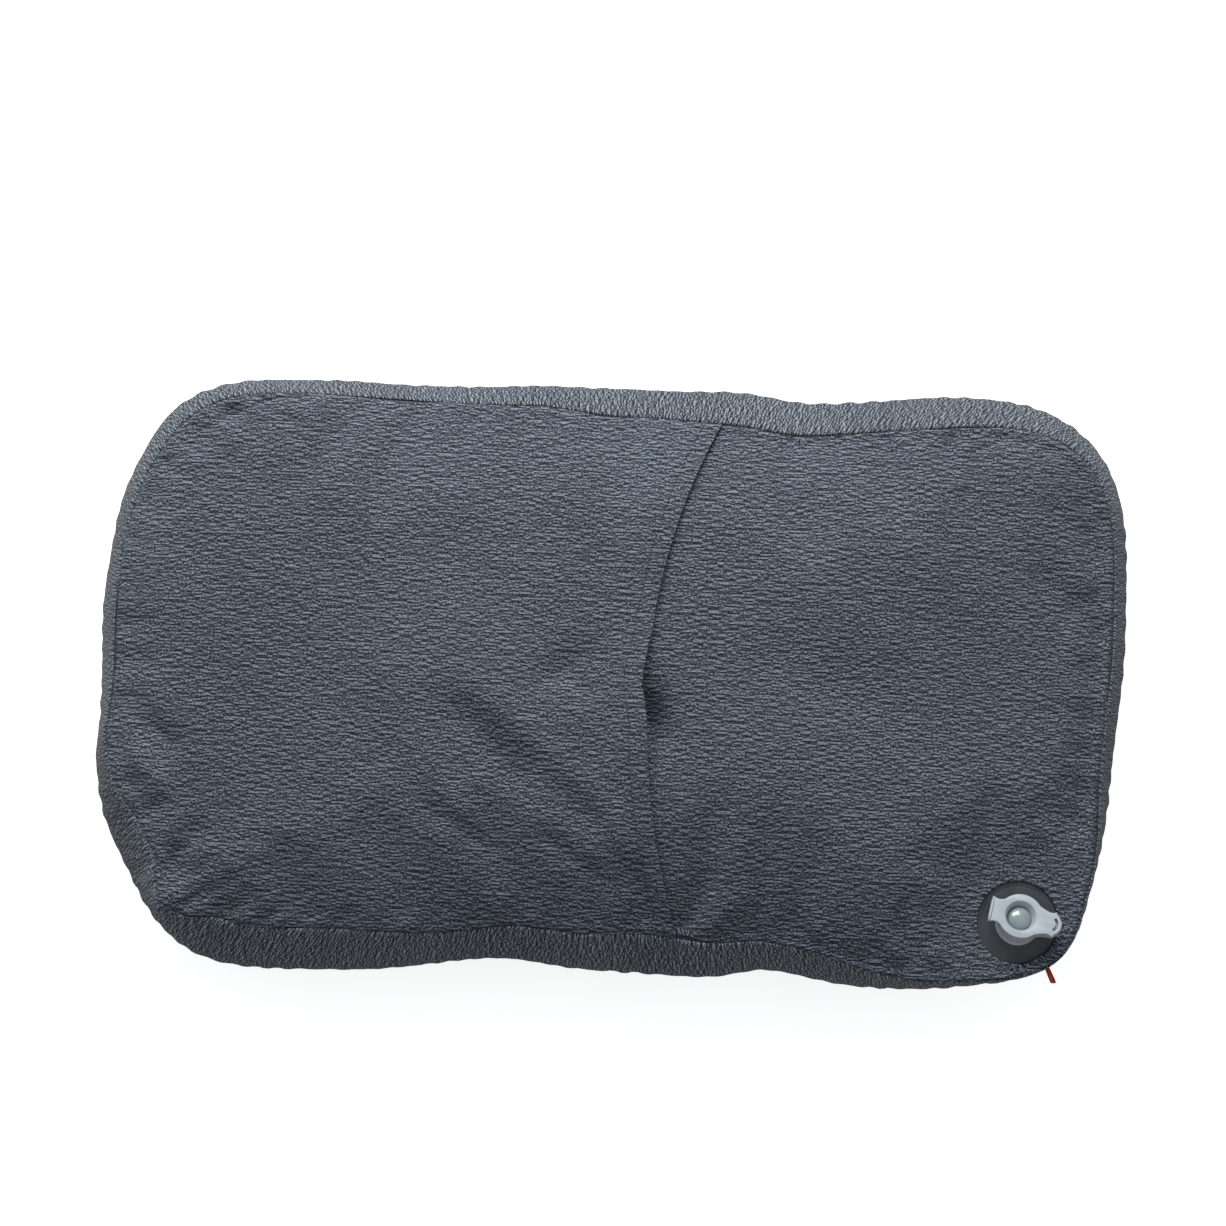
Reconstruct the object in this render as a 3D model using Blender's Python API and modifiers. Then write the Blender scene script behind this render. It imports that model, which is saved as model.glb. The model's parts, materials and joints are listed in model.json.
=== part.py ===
"""Inflatable rectangular cushion in a knitted slip cover.

Frame: metres, +X along the cushion towards the valve end, +Y towards the back edge, +Z up.
The origin is the centre of the footprint, on the surface that the cushion lies on.

The cover is four sewn panels: a base, a gusset band, a flap panel and a valve panel, whose
overlap is the opening that the bladder goes in through. The bladder is two welded sheets
held flat by internal webs. Its valve is a stack of three plates joined at one end: the body,
a dump lid for letting the air out, and an inflation cap over a one-way flap.
"""
import math

import bmesh
import bpy
from mathutils import Matrix, Vector

OBJECT_NAME = "inflatable_cushion"
MM = 0.001

# Overall sizes of the inflated, covered cushion
LENGTH = 568 * MM
WIDTH = 333 * MM
CROWN = 29 * MM             # how far the top domes above its seam
TOP_SEAM_Z = 85 * MM
BASE_SEAM_Z = 22 * MM

# Plan shape: a rounded rectangle, each corner with its own squareness
CORNER_SQUARENESS = {"right_back": 6.5, "left_back": 7.0, "left_front": 5.1, "right_front": 7.3}
PLAN_SKEW = 0.042           # the back edge lies this share of the depth further right
CROWN_SQUARENESS = 2.6
BASE_FLAT_SHARE = 0.72      # share of the base that lies flat

# How far each corner of the top seam sits inside the gusset's widest line
SEAM_INSET = {
    "right_back": 26 * MM,
    "left_back": 11 * MM,
    "left_front": 26 * MM,
    "right_front": 0 * MM,
}
BASE_SEAM_INSET = 17 * MM

# Cover
KNIT_THICKNESS = 1.0 * MM
LAYER_GAP = 0.6 * MM        # between fabric layers that lie on each other
SEAM_GAP = KNIT_THICKNESS + 0.4 * MM  # between panels that meet edge to edge
HEM_THICKNESS = 0.7 * MM
HEM_WIDTH = 11 * MM
ALLOWANCE_WIDTH = 3.5 * MM
ALLOWANCE_THICKNESS = 1.6 * MM
FLAP_EDGE_X = 18 * MM       # flap's free edge at mid depth
FLAP_RISE_BACK = 36 * MM    # how far the edge runs right by the back seam
FLAP_RISE_FRONT = 18 * MM
UNDERLAP = 95 * MM          # how far the valve panel reaches in under the flap
TAB_LENGTH = 13 * MM
TAB_WIDTH = 8 * MM
TAB_THICKNESS = 1.2 * MM
TAB_EASE = 0.6 * MM
TAB_CORNER = (0.93, -1.0)   # where along the seam the tab is sewn in

# Bladder
SHEET_THICKNESS = 0.6 * MM
BLADDER_RIM_INSET = 7.5 * MM  # inside the seams, clear of the seam allowances
BLADDER_SIDE_INSET = 5 * MM # inside the gusset at its widest
BLADDER_WELD_GAP = 0.6 * MM
RIM_DIP_POWER = 10          # how sharply the sheets dip round the seam allowances
WEB_PLACES = (-0.15, 0.0, 0.15)
WEB_DEPTH = 190 * MM
WEB_THICKNESS = 0.8 * MM
WEB_CLEARANCE = 1.5 * MM

# Valve place and lean
HOLE_RADIUS = 22.5 * MM     # in the valve panel
HOLE_FROM_END = 38.5 * MM   # from the hole's edge to the right end of the outline
HOLE_FROM_FRONT = 12.273 * MM  # and to the outline in front of it
VALVE_TURN = math.radians(-14.2)
VALVE_LEAN_BACK = math.radians(17.0)
PAD_SLOPE = (-0.08, 0.08)   # rise of the cushion's surface under the valve, along X and Y
PAD_HEIGHT = 2.6 * MM       # of the pad's centre above the top seam
FLANGE_RADIUS = HOLE_RADIUS - 1.0 * MM
PAD_FLAT_RADIUS = FLANGE_RADIUS + 5.5 * MM
PAD_FADE_RADIUS = PAD_FLAT_RADIUS + 33 * MM
BINDING_WIDTH = 1.4 * MM
FLANGE_THICKNESS = 1.2 * MM
FIT_GAP = 0.3 * MM

# Valve stack, measured along its own axis from the flange's top
NECK_RADIUS = 10.6 * MM
NECK_BORE = 9.5 * MM
NECK_BELOW = 4.0 * MM
NECK_HEIGHT = 5.6 * MM
BASE_RING_RADIUS = 12.4 * MM
BASE_RING_HEIGHT = 1.2 * MM
PLATE_THICKNESS = 1.9 * MM
PLATE_GAP = 0.4 * MM
PLATE_RADIUS = 12.2 * MM
PORT_RADIUS = 9.2 * MM
PORT_BORE = 8.2 * MM
PORT_TAPER = 0.3 * MM
PORT_DEPTH = 5.0 * MM
PLUG_RADIUS = 7.9 * MM
PLUG_TAPER = 0.6 * MM
PLUG_DEPTH = 4.7 * MM
WELL_RADIUS = 8.3 * MM
WELL_WALL = 0.8 * MM
WELL_FLOOR = 3.2 * MM       # below the cap plate's underside
DOME_RADIUS = 6.2 * MM
DOME_RISE = 3.2 * MM

# Outline of the plates: a pull tab on the left, a hinge tongue on the right
TAB_REACH = 16.8 * MM
TAB_END_HALF = 7.25 * MM
TAB_NECK_HALF = 6.1 * MM
TAB_NECK_X = 13.2 * MM
LIP_HEIGHT = 0.9 * MM
LIP_WIDTH = 1.3 * MM
TONGUE_REACH = 22.2 * MM
TONGUE_HALF = 6.1 * MM
TONGUE_END_RADIUS = 6.6 * MM
EAR_HALF = 7.3 * MM
SLOT_RADIUS = 4.1 * MM
SLOT_WIDTH = 1.4 * MM
SLOT_HALF_ANGLE = math.radians(52)
HINGE_EASE = 0.2 * MM       # the hinge lines lie this far past the tongues' ends

# One-way flap
FLAP_RADIUS = 8.6 * MM
FLAP_THICKNESS = 0.6 * MM
FLAP_HINGE_X = 5.0 * MM
BRIDGE_LENGTH = 3.0 * MM
BRIDGE_HALF = 2.8 * MM
BRIDGE_THICKNESS = 1.4 * MM
STUD_RADIUS = 0.8 * MM
STUD_HEAD_RADIUS = 1.15 * MM
STUD_HEAD_HEIGHT = 0.5 * MM

# Mesh resolution
PANEL_COLUMNS = math.ceil(LENGTH / (57 * MM))
PANEL_ROWS = math.ceil(WIDTH / (34 * MM))
BAND_COLUMNS = 4 * math.ceil(LENGTH / (47.5 * MM))  # a whole number to each side
BAND_ROWS = 5
PAD_CELL_DIAGONAL = 15 * MM  # the longest of the finer cells round the valve
ROUND_SEGMENTS = 28
MERGE = 1e-6

SEAM_DROP = {
    "flap": 0.0,
    "flap_hem": KNIT_THICKNESS + FIT_GAP,
    "valve_panel": KNIT_THICKNESS + HEM_THICKNESS + 2 * LAYER_GAP,
}
SEAM_DROP["underlap_hem"] = SEAM_DROP["valve_panel"] + KNIT_THICKNESS + FIT_GAP
SEAM_DROP["allowance"] = SEAM_DROP["underlap_hem"]
SEAM_DROP["bladder"] = SEAM_DROP["underlap_hem"] + HEM_THICKNESS + LAYER_GAP
SEAM_DROP["flange"] = SEAM_DROP["bladder"] - FIT_GAP - FLANGE_THICKNESS



def front_edge(x):
    """Half depth of the unskewed outline at a place on its right front quarter."""
    n = CORNER_SQUARENESS["right_front"]
    return WIDTH / 2 * (1 - (x / (LENGTH / 2)) ** n) ** (1 / n)


VALVE_X = LENGTH / 2 - HOLE_FROM_END - HOLE_RADIUS
VALVE_PLACE = Vector((VALVE_X, HOLE_FROM_FRONT + HOLE_RADIUS - front_edge(VALVE_X)))


def remove_scene_objects():
    for item in list(bpy.data.objects):
        bpy.data.objects.remove(item)


def new_collection(name):
    collection = bpy.data.collections.new(name)
    bpy.context.scene.collection.children.link(collection)
    return collection


remove_scene_objects()
parts = new_collection(OBJECT_NAME)
cutters = new_collection(OBJECT_NAME + "_cutters")


def new_material(name, colour, roughness, metallic=0.0):
    material = bpy.data.materials.new(name)
    material.use_nodes = True
    shader = material.node_tree.nodes["Principled BSDF"]
    shader.inputs["Base Color"].default_value = (*colour, 1.0)
    shader.inputs["Roughness"].default_value = roughness
    shader.inputs["Metallic"].default_value = metallic
    return material


MATERIALS = {
    "knit": new_material("knit", (0.085, 0.102, 0.130), 0.95),
    "gusset_knit": new_material("gusset_knit", (0.075, 0.092, 0.118), 0.95),
    "bladder_film": new_material("bladder_film", (0.030, 0.034, 0.040), 0.55),
    "flange_film": new_material("flange_film", (0.036, 0.042, 0.048), 0.6),
    "valve_plastic": new_material("valve_plastic", (0.42, 0.47, 0.53), 0.4),
    "silicone": new_material("silicone", (0.62, 0.65, 0.66), 0.5),
    "red_ribbon": new_material("red_ribbon", (0.45, 0.05, 0.03), 0.8),
}


# Plan shape -----------------------------------------------------------------

def corner_name(u, v):
    return ("right_" if u > 0 else "left_") + ("back" if v > 0 else "front")


def blended(values, u, v):
    """A value given at the four corners, blended across the square from -1 to 1."""
    right, back = (1 + u) / 2, (1 + v) / 2
    front_value = values["left_front"] * (1 - right) + values["right_front"] * right
    back_value = values["left_back"] * (1 - right) + values["right_back"] * right
    return front_value * (1 - back) + back_value * back


def rounded(u, v):
    """Map the square from -1 to 1 onto the cushion's rounded plan at unit size."""
    ring = max(abs(u), abs(v))
    if ring == 0:
        return 0.0, 0.0
    n = CORNER_SQUARENESS[corner_name(u, v)]
    reach = (abs(u / ring) ** n + abs(v / ring) ** n) ** (1 / n)
    return u / reach, v / reach


def plan_point(u, v, inset):
    x, y = rounded(u, v)
    y *= WIDTH / 2 - inset
    x = x * (LENGTH / 2 - inset) + PLAN_SKEW * y
    return Vector((x, y))


def seam_inset(u, v):
    return blended(SEAM_INSET, u, v)


def square_edge(share):
    """Walk once round the square's edge, anticlockwise from its right side."""
    side, along = divmod((share % 1.0) * 4, 1.0)
    across = -math.cos(math.pi * along)
    return ((1.0, across), (-across, 1.0), (-1.0, -across), (across, -1.0))[int(side)]


def plan_centre():
    """The middle of the gusset's widest line, which the origin is under."""
    ring = [plan_point(*square_edge(k / BAND_COLUMNS), 0.0) for k in range(BAND_COLUMNS)]
    xs = [point.x for point in ring]
    ys = [point.y for point in ring]
    return Vector(((min(xs) + max(xs)) / 2, (min(ys) + max(ys)) / 2))


PLAN_CENTRE = plan_centre()


def in_frame(plan, z):
    return Vector((plan.x - PLAN_CENTRE.x, plan.y - PLAN_CENTRE.y, z))


def smooth_step(value):
    value = min(1.0, max(0.0, value))
    return value * value * (3 - 2 * value)


def pad_height(plan):
    """The flat pad that the valve's flange is welded to."""
    away = plan - VALVE_PLACE
    return TOP_SEAM_Z + PAD_HEIGHT + PAD_SLOPE[0] * away.x + PAD_SLOPE[1] * away.y


def top_point(u, v, extra_inset, drop):
    """A point of the domed top, extra_inset inside the seam and drop below the surface."""
    ring = max(abs(u), abs(v))
    plan = plan_point(u, v, seam_inset(u, v) + extra_inset)
    z = TOP_SEAM_Z + CROWN * (1 - ring ** CROWN_SQUARENESS)
    distance = (plan - VALVE_PLACE).length
    fade = 1 - smooth_step((distance - PAD_FLAT_RADIUS) / (PAD_FADE_RADIUS - PAD_FLAT_RADIUS))
    z += fade * (1 - ring ** 30) * (pad_height(plan) - z)
    return in_frame(plan, z - drop)


def base_point(u, v, extra_inset, lift):
    ring = max(abs(u), abs(v))
    plan = plan_point(u, v, BASE_SEAM_INSET + extra_inset)
    turn_up = max(0.0, ring - BASE_FLAT_SHARE) / (1 - BASE_FLAT_SHARE)
    return in_frame(plan, BASE_SEAM_Z * turn_up ** 2 + lift)


def flap_edge_u(v):
    rise = FLAP_RISE_BACK if v > 0 else FLAP_RISE_FRONT
    return (FLAP_EDGE_X + rise * v * v) / (LENGTH / 2)


def underlap_edge_u(v):
    return (FLAP_EDGE_X - UNDERLAP) / (LENGTH / 2)


# Object helpers -------------------------------------------------------------

def add_mesh(name, bm, material, collection=None):
    mesh = bpy.data.meshes.new(name)
    bm.to_mesh(mesh)
    bm.free()
    item = bpy.data.objects.new(name, mesh)
    (collection or parts).objects.link(item)
    if material:
        mesh.materials.append(MATERIALS[material])
    mesh.shade_smooth()
    mesh.set_sharp_from_angle(angle=math.radians(35))
    return item


def unit_grid(columns, rows):
    """A flat grid whose points run from 0 to 1 both ways."""
    bm = bmesh.new()
    bmesh.ops.create_grid(bm, x_segments=columns, y_segments=rows, size=0.5)
    bmesh.ops.translate(bm, verts=bm.verts, vec=(0.5, 0.5, 0))
    return bm


def thicken(item, thickness, side):
    """Solidify an open surface: side -1 adds the wall behind its faces, +1 in front."""
    wall = item.modifiers.new("wall", "SOLIDIFY")
    wall.thickness = thickness
    wall.offset = side
    return item


def refine_near_valve(bm, place):
    """Split the edges round the valve, so that its pad is modelled flat."""
    diagonal = math.hypot(LENGTH / (2 * PANEL_COLUMNS), WIDTH / PANEL_ROWS)
    cuts = math.ceil(diagonal / PAD_CELL_DIAGONAL) - 1
    def near(vert):
        return (place(vert.co.x, vert.co.y).to_2d() - VALVE_PLACE + PLAN_CENTRE).length
    reach = PAD_FADE_RADIUS
    edges = [e for e in bm.edges if min(near(e.verts[0]), near(e.verts[1])) < reach]
    bmesh.ops.subdivide_edges(bm, edges=edges, cuts=cuts, use_grid_fill=True)


def surface(name, columns, rows, place, material, under_valve=False):
    bm = unit_grid(columns, rows)
    if under_valve:
        refine_near_valve(bm, place)
    for vert in bm.verts:
        vert.co = place(vert.co.x, vert.co.y)
    bmesh.ops.remove_doubles(bm, verts=bm.verts, dist=MERGE)
    return add_mesh(name, bm, material)


def apply_modifiers(item):
    """Replace an object's mesh by its evaluated one."""
    graph = bpy.context.evaluated_depsgraph_get()
    mesh = bpy.data.meshes.new_from_object(item.evaluated_get(graph))
    item.modifiers.clear()
    item.data = mesh
    return item


def cutter(item):
    item.hide_render = True
    item.display_type = "WIRE"
    if item.name not in cutters.objects:
        cutters.objects.link(item)
        parts.objects.unlink(item)
    return item


def boolean(item, other, operation):
    step = item.modifiers.new(operation.lower() + "_" + other.name, "BOOLEAN")
    step.operation = operation
    step.solver = "EXACT"
    step.object = cutter(other)


def cylinder(name, radius, low, high, frame, material=None, top_radius=None):
    """A cylinder or cone from low to high along its frame's own Z."""
    bm = bmesh.new()
    bmesh.ops.create_cone(
        bm,
        cap_ends=True,
        segments=ROUND_SEGMENTS,
        radius1=radius,
        radius2=radius if top_radius is None else top_radius,
        depth=high - low,
        matrix=Matrix.Translation((0, 0, (low + high) / 2)),
    )
    item = add_mesh(name, bm, material)
    item.matrix_world = frame
    return item


def box(name, low, high, frame, material=None):
    bm = bmesh.new()
    size = Vector(high) - Vector(low)
    middle = (Vector(high) + Vector(low)) / 2
    bmesh.ops.create_cube(bm, size=1, matrix=Matrix.Translation(middle) @ Matrix.Diagonal((*size, 1)))
    item = add_mesh(name, bm, material)
    item.matrix_world = frame
    return item


def turned(name, profile, frame, material=None):
    """A profile of (radius, height) points turned about the frame's Z, top to bottom."""
    mesh = bpy.data.meshes.new(name)
    points = [(radius, 0, height) for radius, height in profile]
    mesh.from_pydata(points, [(k, k + 1) for k in range(len(points) - 1)], [])
    item = bpy.data.objects.new(name, mesh)
    parts.objects.link(item)
    if material:
        mesh.materials.append(MATERIALS[material])
    screw = item.modifiers.new("turn", "SCREW")
    screw.steps = screw.render_steps = ROUND_SEGMENTS
    screw.use_merge_vertices = True
    screw.merge_threshold = MERGE
    item.matrix_world = frame
    return item


def flat_plate(name, outlines, low, high, frame, material=None):
    """A flat outline, with any holes, extruded from low to high."""
    curve = bpy.data.curves.new(name, "CURVE")
    curve.dimensions = "2D"
    curve.fill_mode = "BOTH"
    curve.extrude = (high - low) / 2
    for outline in outlines:
        spline = curve.splines.new("POLY")
        spline.points.add(len(outline) - 1)
        for point, (x, y) in zip(spline.points, outline):
            point.co = (x, y, 0, 1)
        spline.use_cyclic_u = True
    drawn = bpy.data.objects.new(name + "_outline", curve)
    parts.objects.link(drawn)
    graph = bpy.context.evaluated_depsgraph_get()
    mesh = bpy.data.meshes.new_from_object(drawn.evaluated_get(graph))
    bpy.data.objects.remove(drawn)
    bm = bmesh.new()
    bm.from_mesh(mesh)
    bmesh.ops.remove_doubles(bm, verts=bm.verts, dist=MERGE)
    bmesh.ops.translate(bm, verts=bm.verts, vec=(0, 0, (low + high) / 2))
    item = add_mesh(name, bm, material)
    item.matrix_world = frame
    return item


# Cover ----------------------------------------------------------------------

def eased(share):
    """Spread 0 to 1 so that points gather at both ends."""
    return (1 - math.cos(math.pi * share)) / 2


def top_sheet_place(left, right, extra_inset, drop, ends=(True, True)):
    """Place a grid on the top surface between two edges given as functions of v."""
    def place(s, t):
        v = 2 * eased(t) - 1
        if ends == (True, True):
            along = eased(s)
        elif ends == (True, False):
            along = 1 - math.cos(math.pi * s / 2)
        else:
            along = math.sin(math.pi * s / 2)
        u = left(v) + (right(v) - left(v)) * along
        return top_point(u, v, extra_inset, drop)
    return place


def build_flap_panel():
    place = top_sheet_place(lambda v: -1.0, flap_edge_u, SEAM_GAP, SEAM_DROP["flap"], (True, False))
    thicken(surface("cover_flap_panel", PANEL_COLUMNS, PANEL_ROWS, place, "knit"), KNIT_THICKNESS, -1)


def hem_strip(name, inner, outer, drop):
    """A turned-under strip beneath a panel's free edge, one grid row short of its seams."""
    rows = PANEL_ROWS - 2

    def place(s, t):
        v = 2 * eased((1 + t * rows) / PANEL_ROWS) - 1
        u = inner(v) + (outer(v) - inner(v)) * s
        return top_point(u, v, SEAM_GAP, drop)
    thicken(surface(name, 1, rows, place, "knit"), HEM_THICKNESS, -1)


def build_hems():
    width = HEM_WIDTH / (LENGTH / 2)
    hem_strip("flap_hem", lambda v: flap_edge_u(v) - width, flap_edge_u, SEAM_DROP["flap_hem"])
    hem_strip(
        "underlap_hem",
        underlap_edge_u,
        lambda v: underlap_edge_u(v) + width,
        SEAM_DROP["underlap_hem"],
    )


def build_valve_panel():
    drop = SEAM_DROP["valve_panel"]
    place = top_sheet_place(underlap_edge_u, lambda v: 1.0, SEAM_GAP, drop, (False, True))
    panel = surface("cover_valve_panel", PANEL_COLUMNS, PANEL_ROWS, place, "knit", under_valve=True)
    thicken(panel, KNIT_THICKNESS, -1)
    hole = cylinder("valve_hole_cutter", HOLE_RADIUS, -5 * HOLE_RADIUS, 5 * HOLE_RADIUS, PAD_FRAME)
    boolean(panel, hole, "DIFFERENCE")


def build_hole_binding():
    """The cut edge of the valve hole, turned under as a narrow ring."""
    top = SEAM_DROP["flange"] - SEAM_DROP["valve_panel"] - KNIT_THICKNESS - FIT_GAP
    ring = cylinder(
        "valve_hole_binding",
        HOLE_RADIUS + BINDING_WIDTH,
        top - HEM_THICKNESS,
        top,
        PAD_FRAME,
        "knit",
    )
    hole = cylinder("binding_cutter", HOLE_RADIUS, -HOLE_RADIUS, HOLE_RADIUS, PAD_FRAME)
    boolean(ring, hole, "DIFFERENCE")


def build_base_panel():
    def place(s, t):
        return base_point(2 * eased(s) - 1, 2 * eased(t) - 1, SEAM_GAP, 0.0)
    panel = surface("cover_base_panel", 2 * PANEL_COLUMNS, PANEL_ROWS, place, "knit")
    thicken(panel, KNIT_THICKNESS, 1)


def band_point(share, turn, top_inset, base_inset, top_z, base_z):
    """A point of a bulging side wall: turn runs from pi at the base seam to 0 at the top."""
    u, v = square_edge(share)
    edge = top_inset(u, v) if turn < math.pi / 2 else base_inset
    widest = BLADDER_SIDE_INSET if top_inset is not seam_inset else 0.0
    inset = widest + (edge - widest) * (1 - math.sin(turn))
    z = (top_z + base_z) / 2 + (top_z - base_z) / 2 * math.cos(turn)
    return in_frame(plan_point(u, v, inset), z)


def build_gusset():
    def place(s, t):
        turn = math.pi * (1 - t)
        return band_point(s, turn, seam_inset, BASE_SEAM_INSET, TOP_SEAM_Z, BASE_SEAM_Z)
    thicken(surface("cover_gusset", BAND_COLUMNS, BAND_ROWS, place, "gusset_knit"), KNIT_THICKNESS, -1)


def build_seam_allowances():
    """The trimmed, overlocked edges inside the two seams."""
    ease = KNIT_THICKNESS + SEAM_GAP

    def upper(s, t):
        u, v = square_edge(s)
        return top_point(u, v, ease + ALLOWANCE_WIDTH * (1 - t), SEAM_DROP["allowance"])

    def lower(s, t):
        u, v = square_edge(s)
        lift = KNIT_THICKNESS + LAYER_GAP
        return base_point(u, v, ease + ALLOWANCE_WIDTH * t, lift)
    top = surface("upper_seam_allowance", BAND_COLUMNS, 1, upper, "gusset_knit")
    thicken(top, ALLOWANCE_THICKNESS, 1)
    base = surface("lower_seam_allowance", BAND_COLUMNS, 1, lower, "gusset_knit")
    thicken(base, ALLOWANCE_THICKNESS, 1)


def build_red_tab():
    """A folded ribbon caught in the top seam near the valve, standing on its edge."""
    u, v = TAB_CORNER
    seam = top_point(u, v, 0.0, 0.0)
    along = top_point(u + TAB_WIDTH / LENGTH, v, 0.0, 0.0) - seam
    outward = Vector((along.y, -along.x)).normalized()
    start = KNIT_THICKNESS + TAB_EASE
    frame = Matrix.Translation(seam) @ Matrix.Rotation(math.atan2(outward.y, outward.x), 4, "Z")
    low = (start, -TAB_THICKNESS / 2, -TAB_WIDTH)
    box("red_tab", low, (start + TAB_LENGTH, TAB_THICKNESS / 2, 0), frame, "red_ribbon")


# Bladder --------------------------------------------------------------------

def bladder_inset(u, v):
    return seam_inset(u, v) + BLADDER_RIM_INSET


def rim_dip(u, v):
    """How far a sheet moves away from the seam allowance beside it."""
    return ALLOWANCE_THICKNESS * max(abs(u), abs(v)) ** RIM_DIP_POWER


BLADDER_BASE_LIFT = KNIT_THICKNESS + 2 * LAYER_GAP
BLADDER_TOP_Z = TOP_SEAM_Z - SEAM_DROP["bladder"] - ALLOWANCE_THICKNESS
BLADDER_BASE_Z = BASE_SEAM_Z + BLADDER_BASE_LIFT + ALLOWANCE_THICKNESS
BLADDER_SIDE_ROWS = 3


def bladder_half(name, dome_place, upper):
    """One welded half: a dished sheet with a side wall that meets the other half."""
    bm = unit_grid(2 * PANEL_COLUMNS, PANEL_ROWS)
    for vert in bm.verts:
        vert.co.x = 2 * eased(vert.co.x) - 1
        vert.co.y = 2 * eased(vert.co.y) - 1
    if upper:
        refine_near_valve(bm, dome_place)
    sides = {}
    rim = [edge for edge in bm.edges if edge.is_boundary]
    for row in range(1, BLADDER_SIDE_ROWS + 1):
        grown = bmesh.ops.extrude_edge_only(bm, edges=rim)["geom"]
        rim = [g for g in grown if isinstance(g, bmesh.types.BMEdge)]
        for vert in (g for g in grown if isinstance(g, bmesh.types.BMVert)):
            sides[vert] = row
    mid_z = (TOP_SEAM_Z + BASE_SEAM_Z) / 2
    rim_z = BLADDER_TOP_Z if upper else BLADDER_BASE_Z
    weld_z = mid_z + BLADDER_WELD_GAP / 2 * (1 if upper else -1)
    for vert in bm.verts:
        u, v = vert.co.x, vert.co.y
        if vert not in sides:
            vert.co = dome_place(u, v)
            continue
        turn = math.pi / 2 * sides[vert] / BLADDER_SIDE_ROWS
        edge = bladder_inset(u, v) if upper else BASE_SEAM_INSET + BLADDER_RIM_INSET
        inset = BLADDER_SIDE_INSET + (edge - BLADDER_SIDE_INSET) * (1 - math.sin(turn))
        z = weld_z + (rim_z - weld_z) * math.cos(turn)
        vert.co = in_frame(plan_point(u, v, inset), z)
    bmesh.ops.recalc_face_normals(bm, faces=bm.faces)
    return add_mesh(name, bm, "bladder_film")


def build_bladder():
    def upper(u, v):
        return top_point(u, v, BLADDER_RIM_INSET, SEAM_DROP["bladder"] + rim_dip(u, v))

    def lower(u, v):
        return base_point(u, v, BLADDER_RIM_INSET, BLADDER_BASE_LIFT + rim_dip(u, v))
    top = bladder_half("bladder_top_sheet", upper, True)
    thicken(top, SHEET_THICKNESS, -1)
    neck = cylinder("neck_hole_cutter", NECK_RADIUS + FIT_GAP, -15 * MM, 15 * MM, VALVE_FRAME)
    boolean(top, neck, "DIFFERENCE")
    thicken(bladder_half("bladder_bottom_sheet", lower, False), SHEET_THICKNESS, -1)


def build_webs():
    """Cross webs that stop the bladder from ballooning; they leave the ends open for air."""
    for number, x in enumerate(WEB_PLACES, start=1):
        def place(s, t, x=x):
            v = (2 * s - 1) * WEB_DEPTH / WIDTH
            u = x / (LENGTH / 2)
            away = SHEET_THICKNESS + WEB_CLEARANCE
            low = base_point(u, v, BLADDER_RIM_INSET, BLADDER_BASE_LIFT + away)
            high = top_point(u, v, BLADDER_RIM_INSET, SEAM_DROP["bladder"] + away)
            return low.lerp(high, t)
        web = surface("tie_web_%d" % number, 8, 1, place, "bladder_film")
        thicken(web, WEB_THICKNESS, 0)


# Valve ----------------------------------------------------------------------

def frame_on(normal, turn, origin):
    z_axis = normal.normalized()
    x_axis = Vector((math.cos(turn), math.sin(turn), 0))
    x_axis = (x_axis - z_axis * x_axis.dot(z_axis)).normalized()
    y_axis = z_axis.cross(x_axis)
    rotation = Matrix((x_axis, y_axis, z_axis)).transposed().to_4x4()
    return Matrix.Translation(origin) @ rotation


FLANGE_TOP = in_frame(VALVE_PLACE, pad_height(VALVE_PLACE) - SEAM_DROP["flange"])
PAD_FRAME = frame_on(Vector((-PAD_SLOPE[0], -PAD_SLOPE[1], 1)), VALVE_TURN, FLANGE_TOP)
VALVE_FRAME = frame_on(Vector((0, math.tan(VALVE_LEAN_BACK), 1)), VALVE_TURN, FLANGE_TOP)

SEAT_Z = NECK_HEIGHT + PLATE_THICKNESS          # top of the body's plate
LID_Z = SEAT_Z + PLATE_GAP                      # underside of the dump lid's plate
LID_TOP_Z = LID_Z + PLATE_THICKNESS
CAP_Z = LID_TOP_Z + PLATE_GAP                   # underside of the cap's plate
CAP_TOP_Z = CAP_Z + PLATE_THICKNESS
HINGE_X = TONGUE_REACH + HINGE_EASE
LID_HINGE = Vector((HINGE_X, 0, SEAT_Z + PLATE_GAP / 2))
CAP_HINGE = Vector((HINGE_X, 0, LID_TOP_Z + PLATE_GAP / 2))
PORT_END_Z = LID_Z - PORT_DEPTH
FLAP_TOP_Z = PORT_END_Z - FIT_GAP
FLAP_BASE_Z = FLAP_TOP_Z - FLAP_THICKNESS
FLAP_HINGE = Vector((FLAP_HINGE_X, 0, (FLAP_TOP_Z + FLAP_BASE_Z) / 2))


def arc(centre_x, radius, start, end, steps):
    turn = [start + (end - start) * k / steps for k in range(steps + 1)]
    return [(centre_x + radius * math.cos(a), radius * math.sin(a)) for a in turn]


def mirrored(half):
    """Close an outline from its half above the X axis, which runs left to right."""
    return half + [(x, -y) for x, y in reversed(half) if abs(y) > MERGE]


def tongue_half():
    end_x = TONGUE_REACH - TONGUE_END_RADIUS
    return [(PLATE_RADIUS + 2.2 * MM, TONGUE_HALF)] + arc(
        end_x, TONGUE_END_RADIUS, math.radians(68), 0, 6
    )


def lid_outline():
    ring = arc(0, PLATE_RADIUS, math.pi, math.radians(42), 12)
    return mirrored(ring + tongue_half())


def cap_outline():
    tab = [(-TAB_REACH, TAB_END_HALF), (-TAB_NECK_X, TAB_NECK_HALF)]
    ring = arc(0, PLATE_RADIUS, math.radians(144), math.radians(42), 10)
    end_x = TONGUE_REACH - TONGUE_END_RADIUS
    tongue = [(PLATE_RADIUS + 2.2 * MM, TONGUE_HALF), (end_x + 2.6 * MM, EAR_HALF)]
    tongue += arc(end_x, TONGUE_END_RADIUS, math.radians(58), 0, 6)
    return mirrored(tab + ring + tongue)


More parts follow.
